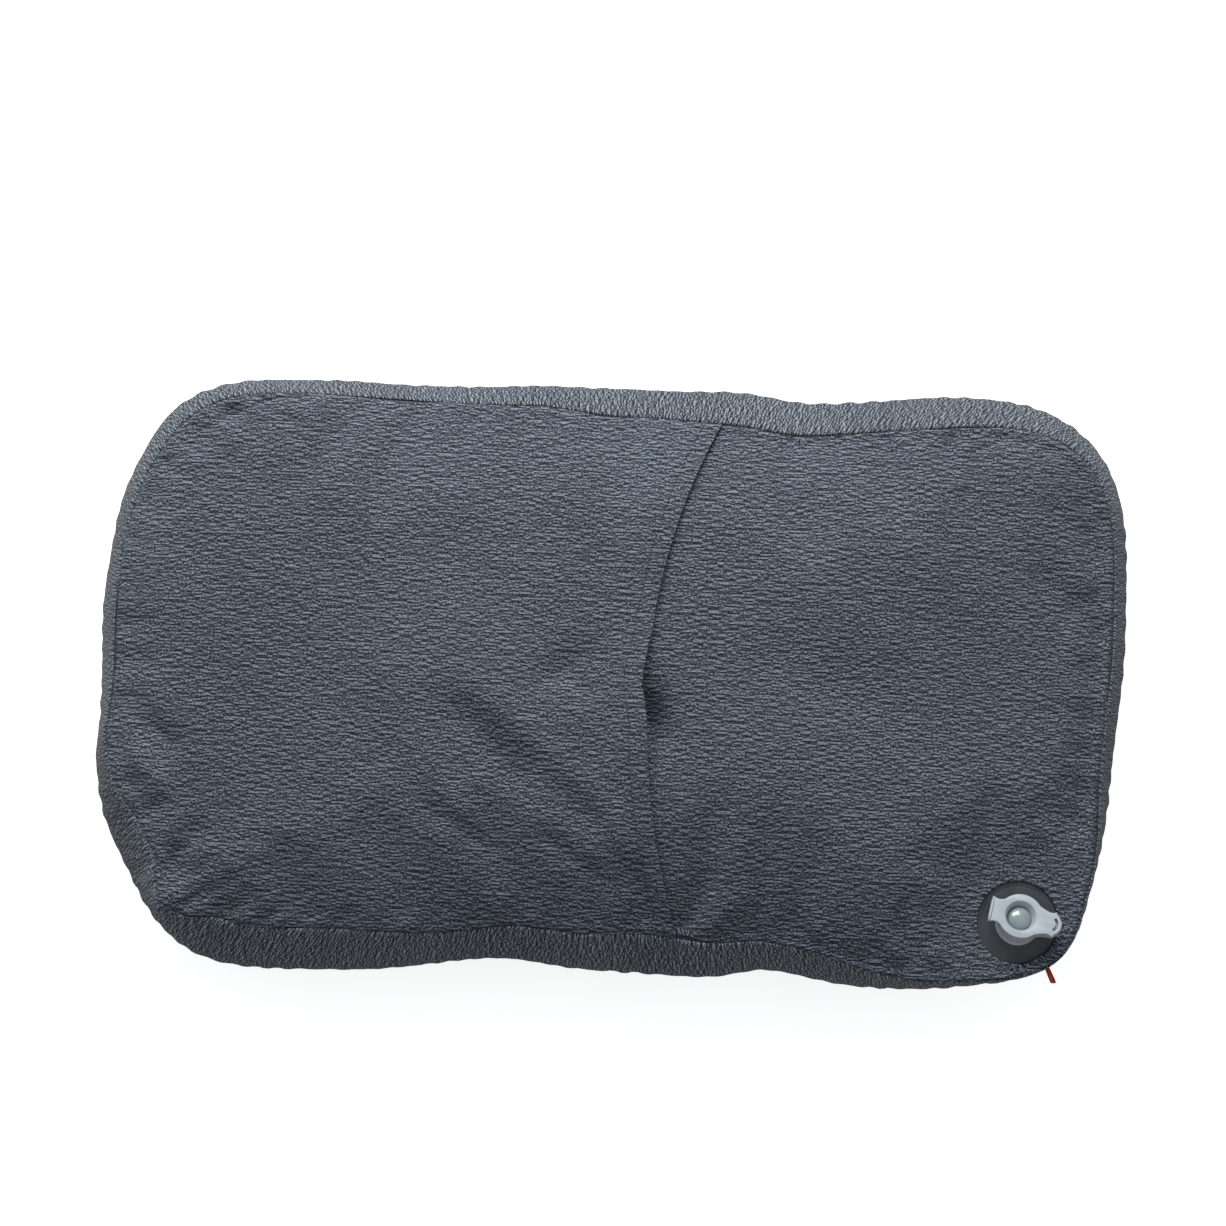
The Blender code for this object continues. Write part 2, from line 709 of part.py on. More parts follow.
def crescent_slot():
    end_x = TONGUE_REACH - TONGUE_END_RADIUS
    outer = arc(end_x, SLOT_RADIUS + SLOT_WIDTH / 2, SLOT_HALF_ANGLE, -SLOT_HALF_ANGLE, 8)
    inner = arc(end_x, SLOT_RADIUS - SLOT_WIDTH / 2, -SLOT_HALF_ANGLE, SLOT_HALF_ANGLE, 8)
    return outer + inner


def build_flange():
    flange = cylinder("valve_flange", FLANGE_RADIUS, -FLANGE_THICKNESS, 0, PAD_FRAME, "flange_film")
    neck = cylinder("flange_cutter", NECK_RADIUS + FIT_GAP, -15 * MM, 15 * MM, VALVE_FRAME)
    boolean(flange, neck, "DIFFERENCE")


def build_valve_body():
    body = cylinder(
        "valve_body", NECK_RADIUS, -NECK_BELOW, SEAT_Z - PLATE_THICKNESS / 2, VALVE_FRAME, "valve_plastic"
    )
    boolean(body, flat_plate("body_plate", [lid_outline()], NECK_HEIGHT, SEAT_Z, VALVE_FRAME), "UNION")
    ring = cylinder(
        "body_ring", BASE_RING_RADIUS, FIT_GAP, FIT_GAP + BASE_RING_HEIGHT, PAD_FRAME
    )
    boolean(body, ring, "UNION")
    boolean(body, cylinder("body_bore", NECK_BORE, -20 * MM, 20 * MM, VALVE_FRAME), "DIFFERENCE")


def hinge_frame(place):
    return VALVE_FRAME @ Matrix.Translation(place)


def set_pivot(item, place):
    """Move an object's origin to a joint axis without moving its solid."""
    item.data.transform(Matrix.Translation(-place))
    item.matrix_world = hinge_frame(place)


def build_dump_lid():
    port = cylinder(
        "lid_port",
        PORT_RADIUS - PORT_TAPER,
        PORT_END_Z,
        LID_Z + PLATE_THICKNESS / 2,
        VALVE_FRAME,
        top_radius=PORT_RADIUS,
    )
    lid = flat_plate("dump_lid", [lid_outline()], LID_Z, LID_TOP_Z, VALVE_FRAME, "valve_plastic")
    boolean(lid, port, "UNION")
    bore = cylinder("lid_bore", PORT_BORE, PORT_END_Z - 1 * MM, CAP_Z + 5 * MM, VALVE_FRAME)
    boolean(lid, bore, "DIFFERENCE")
    bridge = box(
        "lid_bridge",
        (FLAP_HINGE_X + PLATE_GAP, -BRIDGE_HALF, PORT_END_Z),
        (FLAP_HINGE_X + PLATE_GAP + BRIDGE_LENGTH, BRIDGE_HALF, PORT_END_Z + BRIDGE_THICKNESS),
        VALVE_FRAME,
    )
    boolean(lid, bridge, "UNION")
    hole = cylinder("lid_stud_hole", STUD_RADIUS + FIT_GAP, -5 * MM, 8 * MM, STUD_FRAME)
    boolean(lid, hole, "DIFFERENCE")
    apply_modifiers(lid)
    set_pivot(lid, LID_HINGE)


STUD_X = FLAP_HINGE_X + PLATE_GAP + BRIDGE_LENGTH / 2
STUD_FRAME = VALVE_FRAME @ Matrix.Translation((STUD_X, 0, 0))


def build_check_flap():
    """A silicone disc under the port: its root is clamped, the rest swings down."""
    bm = bmesh.new()
    bmesh.ops.create_cone(
        bm,
        cap_ends=True,
        segments=ROUND_SEGMENTS,
        radius1=FLAP_RADIUS,
        radius2=FLAP_RADIUS,
        depth=FLAP_THICKNESS,
    )
    everything = bm.verts[:] + bm.edges[:] + bm.faces[:]
    cut = bmesh.ops.bisect_plane(
        bm, geom=everything, plane_co=(FLAP_HINGE_X, 0, 0), plane_no=(1, 0, 0), clear_outer=True
    )["geom_cut"]
    bmesh.ops.edgeloop_fill(bm, edges=[g for g in cut if isinstance(g, bmesh.types.BMEdge)])
    bmesh.ops.translate(bm, verts=bm.verts, vec=(-FLAP_HINGE_X, 0, 0))
    flap = add_mesh("check_flap", bm, "silicone")
    flap.matrix_world = hinge_frame(FLAP_HINGE)
    root = box(
        "check_flap_root",
        (FLAP_HINGE_X + FIT_GAP, -BRIDGE_HALF, FLAP_BASE_Z),
        (FLAP_HINGE_X + FIT_GAP + BRIDGE_LENGTH, BRIDGE_HALF, FLAP_TOP_Z),
        VALVE_FRAME,
        "silicone",
    )
    hole = cylinder("root_stud_hole", STUD_RADIUS + FIT_GAP, -5 * MM, 8 * MM, STUD_FRAME)
    boolean(root, hole, "DIFFERENCE")
    top = PORT_END_Z + BRIDGE_THICKNESS + FIT_GAP
    base = FLAP_BASE_Z - FIT_GAP
    profile = [
        (0, top + STUD_HEAD_HEIGHT),
        (STUD_HEAD_RADIUS, top + STUD_HEAD_HEIGHT),
        (STUD_HEAD_RADIUS, top),
        (STUD_RADIUS, top),
        (STUD_RADIUS, base),
        (STUD_HEAD_RADIUS, base),
        (STUD_HEAD_RADIUS, base - STUD_HEAD_HEIGHT),
        (0, base - STUD_HEAD_HEIGHT),
    ]
    turned("check_flap_stud", profile, STUD_FRAME, "valve_plastic")


def dome_profile(radius, rise, base_z, steps):
    """A shallow dome's profile from its rim in to the axis."""
    angles = [math.pi / 2 * k / steps for k in range(steps + 1)]
    return [(radius * math.cos(a), base_z + rise * math.sin(a)) for a in angles]


def build_inflate_cap():
    outlines = [cap_outline(), crescent_slot()]
    cap = flat_plate("inflate_cap", outlines, CAP_Z, CAP_TOP_Z, VALVE_FRAME, "valve_plastic")
    plug = cylinder(
        "cap_plug",
        PLUG_RADIUS - PLUG_TAPER,
        CAP_Z - PLUG_DEPTH,
        CAP_Z + PLATE_THICKNESS / 2,
        VALVE_FRAME,
        top_radius=PLUG_RADIUS,
    )
    boolean(cap, plug, "UNION")
    lip = box(
        "cap_lip",
        (-TAB_REACH, -TAB_END_HALF + LIP_WIDTH / 4, CAP_TOP_Z - PLATE_THICKNESS / 2),
        (-TAB_REACH + LIP_WIDTH, TAB_END_HALF - LIP_WIDTH / 4, CAP_TOP_Z + LIP_HEIGHT),
        VALVE_FRAME,
    )
    boolean(cap, lip, "UNION")
    floor_z = CAP_Z - WELL_FLOOR
    well_foot = PLUG_RADIUS - PLUG_TAPER - WELL_WALL
    profile = [
        (0, CAP_TOP_Z + 2 * MM),
        (WELL_RADIUS + 1 * MM, CAP_TOP_Z + 2 * MM),
        (WELL_RADIUS, CAP_TOP_Z),
        (PLUG_RADIUS - WELL_WALL, CAP_Z),
        (well_foot, floor_z),
    ]
    profile += dome_profile(DOME_RADIUS, DOME_RISE, floor_z, 6)
    boolean(cap, turned("cap_well", profile, VALVE_FRAME), "DIFFERENCE")
    apply_modifiers(cap)
    set_pivot(cap, CAP_HINGE)


build_flap_panel()
build_hems()
build_valve_panel()
build_hole_binding()
build_base_panel()
build_gusset()
build_seam_allowances()
build_red_tab()
build_bladder()
build_webs()
build_flange()
build_valve_body()
build_dump_lid()
build_check_flap()
build_inflate_cap()
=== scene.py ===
import json
import math

import bmesh
import bpy
import numpy as np
from mathutils import Matrix, Vector


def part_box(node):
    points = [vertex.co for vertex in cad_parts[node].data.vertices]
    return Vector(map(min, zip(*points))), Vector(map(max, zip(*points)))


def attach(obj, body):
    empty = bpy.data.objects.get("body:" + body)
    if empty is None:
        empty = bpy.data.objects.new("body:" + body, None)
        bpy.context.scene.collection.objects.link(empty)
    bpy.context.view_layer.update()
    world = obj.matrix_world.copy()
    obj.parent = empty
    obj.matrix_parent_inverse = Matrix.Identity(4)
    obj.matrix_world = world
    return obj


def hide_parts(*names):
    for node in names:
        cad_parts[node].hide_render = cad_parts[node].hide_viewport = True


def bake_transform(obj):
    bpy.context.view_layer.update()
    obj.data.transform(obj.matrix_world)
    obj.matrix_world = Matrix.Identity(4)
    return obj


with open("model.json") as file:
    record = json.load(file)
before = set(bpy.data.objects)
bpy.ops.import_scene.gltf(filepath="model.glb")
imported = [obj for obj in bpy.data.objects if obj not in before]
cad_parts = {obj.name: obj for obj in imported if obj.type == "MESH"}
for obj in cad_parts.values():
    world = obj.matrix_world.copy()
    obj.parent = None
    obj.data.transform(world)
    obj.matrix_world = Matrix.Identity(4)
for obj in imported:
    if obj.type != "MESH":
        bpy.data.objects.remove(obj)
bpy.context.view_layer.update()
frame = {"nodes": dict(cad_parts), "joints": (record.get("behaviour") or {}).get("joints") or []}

mm = 0.001
print("frame loaded")


# Plan and crown of the cushion, worked out from the frame's boxes
gussetLow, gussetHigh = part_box("cover_gusset")
flapLow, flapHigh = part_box("cover_flap_panel")
middle = (gussetLow + gussetHigh) / 2
topSeamZ = gussetHigh.z
baseSeamZ = gussetLow.z
crown = flapHigh.z - topSeamZ

cushion = {
    "rightBack": 6.5,       # squareness of each corner
    "leftBack": 7.0,
    "leftFront": 5.1,
    "rightFront": 7.3,
    "skew": 0.042,
    "crownPower": 2.6,
    "centreRoundness": 2.2,  # how round the level lines are near the centre
    "baseFlat": 0.72,
    "baseInset": 17 * mm,
}

# Where the stuffed outline swells and slackens: degrees round the plan, out by, half width
outlineLumps = (
    (2, 2.0 * mm, 12),
    (27, -4.0 * mm, 6),
    (38, 5.4 * mm, 7),
    (57, -6.0 * mm, 9),
    (124, -2.2 * mm, 9),
    (144, 3.0 * mm, 6),
    (154, -5.0 * mm, 6),
    (172, 5.2 * mm, 11),
    (190, 1.4 * mm, 2.5),
    (205, -13.0 * mm, 8),
    (218, 5.5 * mm, 7),
    (231, 0.5 * mm, 5),
    (251, -11.0 * mm, 14),
    (280, -4.6 * mm, 16),
    (302, -8.6 * mm, 7),
    (317, 0.5 * mm, 7),
    (336, -10.0 * mm, 9),
    (352, -3.0 * mm, 8),
)

# How far the top seam lies inside the widest line, by degrees round the plan
seamStations = (
    (0, 12.0 * mm),
    (25, 12.0 * mm),
    (45, 25.0 * mm),
    (70, 24.0 * mm),
    (92, 22.0 * mm),
    (111, 17.0 * mm),
    (128, 15.0 * mm),
    (150, 13.0 * mm),
    (180, 12.5 * mm),
    (188, 10.0 * mm),
    (193, 12.0 * mm),
    (200, 18.0 * mm),
    (205, 17.0 * mm),
    (207, 12.0 * mm),
    (210, 7.5 * mm),
    (212, 12.0 * mm),
    (216, 21.0 * mm),
    (226, 23.0 * mm),
    (245, 17.0 * mm),
    (281, 21.0 * mm),
    (307, 15.0 * mm),
    (319, 4.0 * mm),
    (328, 0.5 * mm),
    (338, 5.0 * mm),
    (350, 11.0 * mm),
)


def smoothStep(t):
    t = np.clip(t, 0.0, 1.0)
    return t * t * (3 - 2 * t)


def turnedAway(angle, centre):
    return (angle - centre + 180.0) % 360.0 - 180.0


def lumpPush(angle):
    push = 0.0
    for centre, out, width in outlineLumps:
        push = push + out * np.exp(-(turnedAway(angle, centre) / width) ** 2)
    return push


# Smoothly joined stations, periodic round the plan
def seamInset(angle):
    angle = angle % 360.0
    angle = np.where(angle >= 360.0, 0.0, angle)
    degrees = [station[0] for station in seamStations] + [360.0 + seamStations[0][0]]
    insets = [station[1] for station in seamStations] + [seamStations[0][1]]
    result = np.zeros_like(angle)
    for k in range(len(seamStations)):
        share = (angle - degrees[k]) / (degrees[k + 1] - degrees[k])
        inside = (share >= 0) & (share < 1)
        value = insets[k] + (insets[k + 1] - insets[k]) * smoothStep(share)
        result = np.where(inside, value, result)
    return result


# Ring, plan coordinates at unit size and squareness of the square's points
def unitPlan(u, v):
    ring = np.maximum(np.maximum(np.abs(u), np.abs(v)), 1e-9)
    back = np.where(u > 0, cushion["rightBack"], cushion["leftBack"])
    front = np.where(u > 0, cushion["rightFront"], cushion["leftFront"])
    power = np.where(v > 0, back, front)
    reach = ((np.abs(u) / ring) ** power + (np.abs(v) / ring) ** power) ** (1 / power)
    reach = np.maximum(reach, 1e-9)
    return ring, u / reach, v / reach, power


# Walk once round the square's edge, anticlockwise from its right front corner
def squareEdge(share):
    quarter = (share % 1.0) * 4
    side = np.floor(quarter).astype(int) % 4
    across = 2 * (quarter - np.floor(quarter)) - 1
    one = np.ones_like(across)
    u = np.choose(side, (one, -across, -one, across))
    v = np.choose(side, (across, one, -across, -one))
    return u, v


halfWidth = (gussetHigh.y - gussetLow.y) / 2
halfLength = (gussetHigh.x - gussetLow.x) / 2
ringU, ringV = squareEdge(np.linspace(0, 1, 400))
ringX, ringY = unitPlan(ringU, ringV)[1:3]
halfLength *= halfLength / (ringX * halfLength + cushion["skew"] * ringY * halfWidth).max()


def planPoint(u, v, extraInset=0.0, inset=None):
    ring, x, y, power = unitPlan(u, v)
    angle = np.degrees(np.arctan2(y * halfWidth, x * halfLength))
    inset = (seamInset(angle) if inset is None else inset) + extraInset
    y = y * (halfWidth - inset)
    x = x * (halfLength - inset) + cushion["skew"] * y
    away = np.hypot(x, y) + 1e-9
    push = lumpPush(angle) * ring ** 3
    return middle.x + x * (1 + push / away), middle.y + y * (1 + push / away)


# Valve frame: Y along the hinges, Z from the lid's hinge to the cap's
valve = {
    "neckRadius": 10.6 * mm,
    "neckBore": 9.5 * mm,
    "neckBelow": 4.0 * mm,
    "neckHeight": 5.6 * mm,
    "ringRadius": 12.4 * mm,
    "ringLow": 0.3 * mm,
    "ringHigh": 1.5 * mm,
    "plate": 1.9 * mm,
    "gap": 0.4 * mm,
    "plateRadius": 12.2 * mm,
    "portRadius": 9.2 * mm,
    "portBore": 8.2 * mm,
    "portDepth": 5.0 * mm,
    "plugRadius": 7.9 * mm,
    "plugFoot": 7.3 * mm,
    "plugDepth": 4.7 * mm,
    "wellRadius": 8.3 * mm,
    "wellWall": 0.8 * mm,
    "wellFloor": 3.2 * mm,
    "domeRadius": 6.35 * mm,
    "domeRise": 3.2 * mm,
    "tongueReach": 22.2 * mm,
    "hingeEase": 0.2 * mm,
    "holeRadius": 22.5 * mm,
    "flangeRadius": 22.3 * mm,
    "flangeThick": 1.2 * mm,
    "padSlope": (-0.08, 0.08),
    "padFlat": 27 * mm,
    "padFade": 60 * mm,
    "panelRise": 1.1 * mm,  # cover's outer face over the flange's top
}
joints = {joint["name"]: joint for joint in frame["joints"]}
lidHinge = Vector(joints["dump_lid_hinge"]["pos_m"])
capHinge = Vector(joints["inflate_cap_hinge"]["pos_m"])
seatZ = valve["neckHeight"] + valve["plate"]
lidZ = seatZ + valve["gap"]
lidTopZ = lidZ + valve["plate"]
capZ = lidTopZ + valve["gap"]
capTopZ = capZ + valve["plate"]
hingeX = valve["tongueReach"] + valve["hingeEase"]


def frameFrom(origin, xAxis, yAxis, zAxis):
    turn = Matrix((xAxis, yAxis, zAxis)).transposed().to_4x4()
    return Matrix.Translation(origin) @ turn


valveY = Vector(joints["dump_lid_hinge"]["axis"]).normalized()
valveZ = capHinge - lidHinge
valveZ = (valveZ - valveY * valveZ.dot(valveY)).normalized()
valveX = valveY.cross(valveZ)
valveBase = lidHinge - valveX * hingeX - valveZ * (seatZ + valve["gap"] / 2)
valveFrame = frameFrom(valveBase, valveX, valveY, valveZ)
padZ = Vector((-valve["padSlope"][0], -valve["padSlope"][1], 1)).normalized()
padX = (valveX - padZ * valveX.dot(padZ)).normalized()
padFrame = frameFrom(valveBase, padX, padZ.cross(padX), padZ)


# Surface of the stuffed cover
knitThick = 1.0 * mm
drops = {"flap": 0.0, "flapHem": 1.25 * mm, "valvePanel": 2.4 * mm}
drops["underlapHem"] = drops["valvePanel"] + 1.25 * mm
drops["allowance"] = drops["underlapHem"] + 0.3 * mm
drops["bladder"] = 5.5 * mm

seamLook = {
    "dip": 1.9 * mm,         # how deep both edges turn into the seam
    "dipReach": 3.2 * mm,
    "puckerHeight": 0.55 * mm,
    "puckerReach": 22 * mm,
    "puckerShort": 9 * mm,
    "puckerLong": 24 * mm,
}


# Smooth seeded noise along one coordinate: sines of mixed lengths, about -1 to 1
def waves(position, short, long, count, seed):
    rng = np.random.default_rng(seed)
    total = 0.0
    for k in range(count):
        length = short + (long - short) * rng.random()
        total = total + np.sin(2 * np.pi * position / length + 2 * np.pi * rng.random())
    return total / math.sqrt(count)


# Seeded waves across the plane, stretched along X
def ripple(x, y, short, long, count, seed, stretch=1.0):
    rng = np.random.default_rng(seed)
    total = 0.0
    for k in range(count):
        length = short + (long - short) * rng.random()
        heading = 2 * np.pi * rng.random()
        along = x * math.cos(heading) / stretch + y * math.sin(heading)
        total = total + np.sin(2 * np.pi * along / length + 2 * np.pi * rng.random())
    return total / math.sqrt(count)


walkShares = np.linspace(0, 1, 2001)
walkX, walkY = planPoint(*squareEdge(walkShares * 0.999999))
walkLengths = np.concatenate(([0.0], np.cumsum(np.hypot(np.diff(walkX), np.diff(walkY)))))
perimeter = walkLengths[-1]


# Length along the top seam to the point that lies straight out from (u, v)
def edgeLength(u, v):
    ring = np.maximum(np.maximum(np.abs(u), np.abs(v)), 1e-9)
    a, b = u / ring, v / ring
    right = (b + 1) / 8
    back = 0.25 + (1 - a) / 8
    left = 0.5 + (1 - b) / 8
    front = 0.75 + (1 + a) / 8
    sideways = np.abs(a) >= np.abs(b)
    share = np.where(sideways, np.where(a > 0, right, left), np.where(b > 0, back, front))
    return np.interp(share, walkShares, walkLengths)


# Evenly spaced shares of the walk round the square, by length along the seam
def edgeWalk(count):
    return np.interp(np.linspace(0, perimeter, count + 1)[:-1], walkLengths, walkShares)


# Long soft folds, which every layer of the top follows: (start, end, half width, height)
softFolds = {
    "gain": 2.7,
    "lines": (
        ((-0.034, 0.003), (-0.006, -0.018), 5 * mm, -1.3 * mm),
        ((-0.049, -0.080), (0.014, -0.122), 5 * mm, -1.2 * mm),
        ((-0.104, -0.070), (-0.052, -0.104), 5 * mm, -1.2 * mm),
        ((-0.100, -0.005), (-0.030, -0.082), 9 * mm, -2.0 * mm),
        ((-0.084, 0.004), (-0.010, -0.074), 8 * mm, 1.5 * mm),
        ((-0.122, -0.022), (-0.062, -0.100), 9 * mm, 1.3 * mm),
        ((-0.058, -0.030), (0.006, -0.098), 7 * mm, -1.5 * mm),
        ((-0.018, -0.046), (0.018, -0.110), 6 * mm, 1.4 * mm),
        ((-0.004, 0.016), (-0.052, -0.014), 9 * mm, -1.2 * mm),
        ((0.012, -0.094), (0.029, -0.146), 5 * mm, -1.8 * mm),
        ((-0.232, 0.132), (-0.176, 0.156), 6 * mm, -1.4 * mm),
        ((-0.226, 0.146), (-0.150, 0.140), 7 * mm, 1.2 * mm),
        ((-0.262, -0.030), (-0.226, -0.052), 7 * mm, -1.8 * mm),
        ((-0.268, -0.044), (-0.232, -0.078), 6 * mm, 1.4 * mm),
        ((-0.240, -0.120), (-0.216, -0.082), 7 * mm, -1.6 * mm),
        ((0.036, -0.150), (0.060, -0.096), 6 * mm, -1.6 * mm),
        ((0.046, -0.146), (0.082, -0.112), 7 * mm, 1.2 * mm),
        ((0.060, 0.020), (0.150, -0.020), 16 * mm, -0.9 * mm),
        ((0.100, 0.090), (0.200, 0.050), 18 * mm, 0.8 * mm),
        ((0.225, 0.070), (0.262, 0.030), 9 * mm, -1.2 * mm),
    ),
}


def creaseField(x, y):
    total = np.zeros_like(x)
    for (x1, y1), (x2, y2), width, height in softFolds["lines"]:
        dx, dy = x2 - x1, y2 - y1
        span = math.hypot(dx, dy)
        along = ((x - x1) * dx + (y - y1) * dy) / span ** 2
        across = ((x - x1) * dy - (y - y1) * dx) / span
        ends = smoothStep(along / 0.35) * smoothStep((1 - along) / 0.35)
        total += height * np.exp(-(across / width) ** 2) * ends
    return total


def nearValve(x, y):
    away = np.hypot(x - valveBase.x, y - valveBase.y)
    flat, fade = valve["padFlat"], valve["padFade"]
    return 1 - smoothStep((away - flat) / (fade - flat))


# Height of the cover's outer face, before folds
def topHeight(u, v, x, y):
    ring, unitX, unitY, power = unitPlan(u, v)
    soft = cushion["centreRoundness"] + (power - cushion["centreRoundness"]) * np.minimum(ring, 1) ** 2
    level = (np.abs(unitX) ** soft + np.abs(unitY) ** soft) ** (1 / soft)
    z = topSeamZ + crown * (1 - np.minimum(level, 1.2) ** cushion["crownPower"])
    pad = valveBase.z + valve["panelRise"] + drops["valvePanel"]
    pad = pad + valve["padSlope"][0] * (x - valveBase.x) + valve["padSlope"][1] * (y - valveBase.y)
    return z + nearValve(x, y) * (1 - ring ** 30) * (pad - z)


# Faces of a closed shell stored as a top grid, rings down its side and a base grid
def shellFaces(columns, rows, rim, rings):
    faces = gridFaces(columns, rows)
    count = len(rim)
    first = (columns + 1) * (rows + 1)
    starts = [first + k * count for k in range(rings)]
    lowerRim = first + rings * count
    for k in range(count):
        n = (k + 1) % count
        faces.append((rim[n], rim[k], starts[0] + k, starts[0] + n))
        for a, b in zip(starts, starts[1:]):
            faces.append((a + n, a + k, b + k, b + n))
        faces.append((starts[-1] + n, starts[-1] + k, lowerRim + rim[k], lowerRim + rim[n]))
    faces += [tuple(reversed([lowerRim + i for i in face])) for face in gridFaces(columns, rows)]
    return faces


# Indices round a grid's edge, anticlockwise from its first point
def gridRim(columns, rows):
    wide = columns + 1
    rim = list(range(columns))
    rim += [j * wide + columns for j in range(rows)]
    rim += [rows * wide + i for i in range(columns, 0, -1)]
    rim += [j * wide for j in range(rows, 0, -1)]
    return rim


settle = {
    "columns": 76,
    "rows": 46,
    "sideRings": 5,
    "pressure": 3.2,
    "slack": 0.035,         # how much more cloth there is than surface
    "frames": 18,
    "cap": 8 * mm,
    "keep": 0.85,           # share of the wrinkles that is kept
    "broad": 5,             # squared, it is the number of averaging passes that find the even swelling
}
settledHeights = np.zeros((settle["rows"] + 1, settle["columns"] + 1))


# Read the settled cloth's heights between its grid points with cubic weights
def sampleSettled(u, v):
    rows, columns = settledHeights.shape[0] - 1, settledHeights.shape[1] - 1
    s = np.clip((u + 1) / 2 * columns, 0, columns)
    t = np.clip((v + 1) / 2 * rows, 0, rows)
    s0, t0 = np.floor(s).astype(int), np.floor(t).astype(int)
    fs, ft = s - s0, t - t0

    def weights(f):
        return (
            (-f + 2 * f ** 2 - f ** 3) / 2, (2 - 5 * f ** 2 + 3 * f ** 3) / 2,
            (f + 4 * f ** 2 - 3 * f ** 3) / 2, (-f ** 2 + f ** 3) / 2,
        )
    total = 0.0
    for j, across in enumerate(weights(ft)):
        for i, along in enumerate(weights(fs)):
            row = np.clip(t0 + j - 1, 0, rows)
            column = np.clip(s0 + i - 1, 0, columns)
            total = total + across * along * settledHeights[row, column]
    return total


def topSurface(u, v, extraInset=0.0, drop=0.0, dipped=True, fine=True):
    x, y = planPoint(u, v, extraInset)
    z = topHeight(u, v, x, y)
    ring = np.maximum(np.maximum(np.abs(u), np.abs(v)), 1e-9)
    seamX, seamY = planPoint(u / ring, v / ring, extraInset)
    away = np.hypot(seamX - x, seamY - y)
    calm = 1 - nearValve(x, y)
    if fine:
        place = edgeLength(u, v)
        pucker = waves(place, seamLook["puckerShort"], seamLook["puckerLong"], 9, 4)
        fade = np.exp(-(away / seamLook["puckerReach"]) ** 2)
        z = z + calm * seamLook["puckerHeight"] * pucker * fade * smoothStep(away / (4 * mm))
        z = z + calm * 0.5 * mm * ripple(x, y, 45 * mm, 110 * mm, 9, 11)
        z = z + calm * 0.16 * mm * ripple(x, y, 12 * mm, 26 * mm, 14, 12, 2.0)
    z = z + sampleSettled(u, v)
    folds = softFolds["gain"] * creaseField(x - middle.x, y - middle.y)
    z = z + calm * folds * smoothStep(away / (12 * mm))
    if dipped:
        z = z - seamLook["dip"] * (1 - smoothStep(away / seamLook["dipReach"]))
    return x, y, z - drop


# Takes points as (n, 3) and faces as index tuples; uvs is one (x, y) in metres for each point
def meshObject(name, points, faces, uvs=None, smooth=True):
    mesh = bpy.data.meshes.new(name)
    mesh.from_pydata([tuple(p) for p in np.asarray(points, float)], [], [tuple(f) for f in faces])
    if uvs is not None:
        layer = mesh.uv_layers.new(name="cloth")
        corner = np.zeros(len(mesh.loops), np.int64)
        mesh.loops.foreach_get("vertex_index", corner)
        layer.data.foreach_set("uv", np.asarray(uvs, np.float32)[corner].ravel())
    mesh.update()
    item = bpy.data.objects.new(name, mesh)
    bpy.context.scene.collection.objects.link(item)
    if smooth:
        mesh.shade_smooth()
    return item


# Faces of a grid stored row by row; closed joins the last column to the first
def gridFaces(columns, rows, closed=False, start=0):
    faces = []
    wide = columns if closed else columns + 1
    for j in range(rows):
        for i in range(columns):
            a = start + j * wide + i
            b = start + j * wide + (i + 1) % wide
            faces.append((a, b, b + wide, a + wide))
    return faces


def solidify(item, thick, offset=-1.0):
    wall = item.modifiers.new("wall", "SOLIDIFY")
    wall.thickness = thick
    wall.offset = offset
    wall.use_even_offset = False
    return item


def applyModifiers(item):
    graph = bpy.context.evaluated_depsgraph_get()
    mesh = bpy.data.meshes.new_from_object(item.evaluated_get(graph))
    item.modifiers.clear()
    item.data = mesh
    return item


def setMaterial(item, material):
    item.data.materials.clear()
    item.data.materials.append(material)
    return item


def eased(share):
    return (1 - np.cos(np.pi * share)) / 2


# Materials: shared effects as node groups, then one material for each finish
def newGroup(name, inputs, outputs):
    group = bpy.data.node_groups.new(name, "ShaderNodeTree")
    for label, kind, value in inputs:
        socket = group.interface.new_socket(name=label, in_out="INPUT", socket_type=kind)
        if value is not None:
            socket.default_value = value
    for label, kind in outputs:
        group.interface.new_socket(name=label, in_out="OUTPUT", socket_type=kind)
    entry = group.nodes.new("NodeGroupInput")
    leave = group.nodes.new("NodeGroupOutput")
    return group, entry, leave


def addNode(tree, kind, **settings):
    node = tree.nodes.new(kind)
    for key, value in settings.items():
        if key in node.inputs:
            node.inputs[key].default_value = value
        else:
            setattr(node, key, value)
    return node


def mathNode(tree, operation, first, second=None, third=None, clamp=False):
    node = tree.nodes.new("ShaderNodeMath")
    node.operation = operation
    node.use_clamp = clamp
    for socket, value in zip(node.inputs, (first, second, third)):
        if value is None:
            continue
        if isinstance(value, (int, float)):
            socket.default_value = value
        else:
            tree.links.new(value, socket)
    return node.outputs[0]


def stretched(tree, vector, scaleX, scaleY, offset=0.0, turn=0.0):
    node = tree.nodes.new("ShaderNodeMapping")
    node.inputs["Scale"].default_value = (scaleX, scaleY, 1)
    node.inputs["Location"].default_value = (offset, offset * 0.7, 0)
    node.inputs["Rotation"].default_value = (0, 0, turn)
    tree.links.new(vector, node.inputs["Vector"])
    return node.outputs["Vector"]


def noise2d(tree, vector, detail=2.0, roughness=0.5, distortion=0.0):
    node = tree.nodes.new("ShaderNodeTexNoise")
    node.noise_dimensions = "2D"
    node.inputs["Scale"].default_value = 1.0
    node.inputs["Detail"].default_value = detail
    node.inputs["Roughness"].default_value = roughness
    node.inputs["Distortion"].default_value = distortion
    tree.links.new(vector, node.inputs["Vector"])
    return node.outputs["Fac"]


def contrast(tree, value, low, high):
    node = tree.nodes.new("ShaderNodeMapRange")
    node.interpolation_type = "SMOOTHSTEP"
    node.inputs["From Min"].default_value = low
    node.inputs["From Max"].default_value = high
    tree.links.new(value, node.inputs["Value"])
    return node.outputs["Result"]


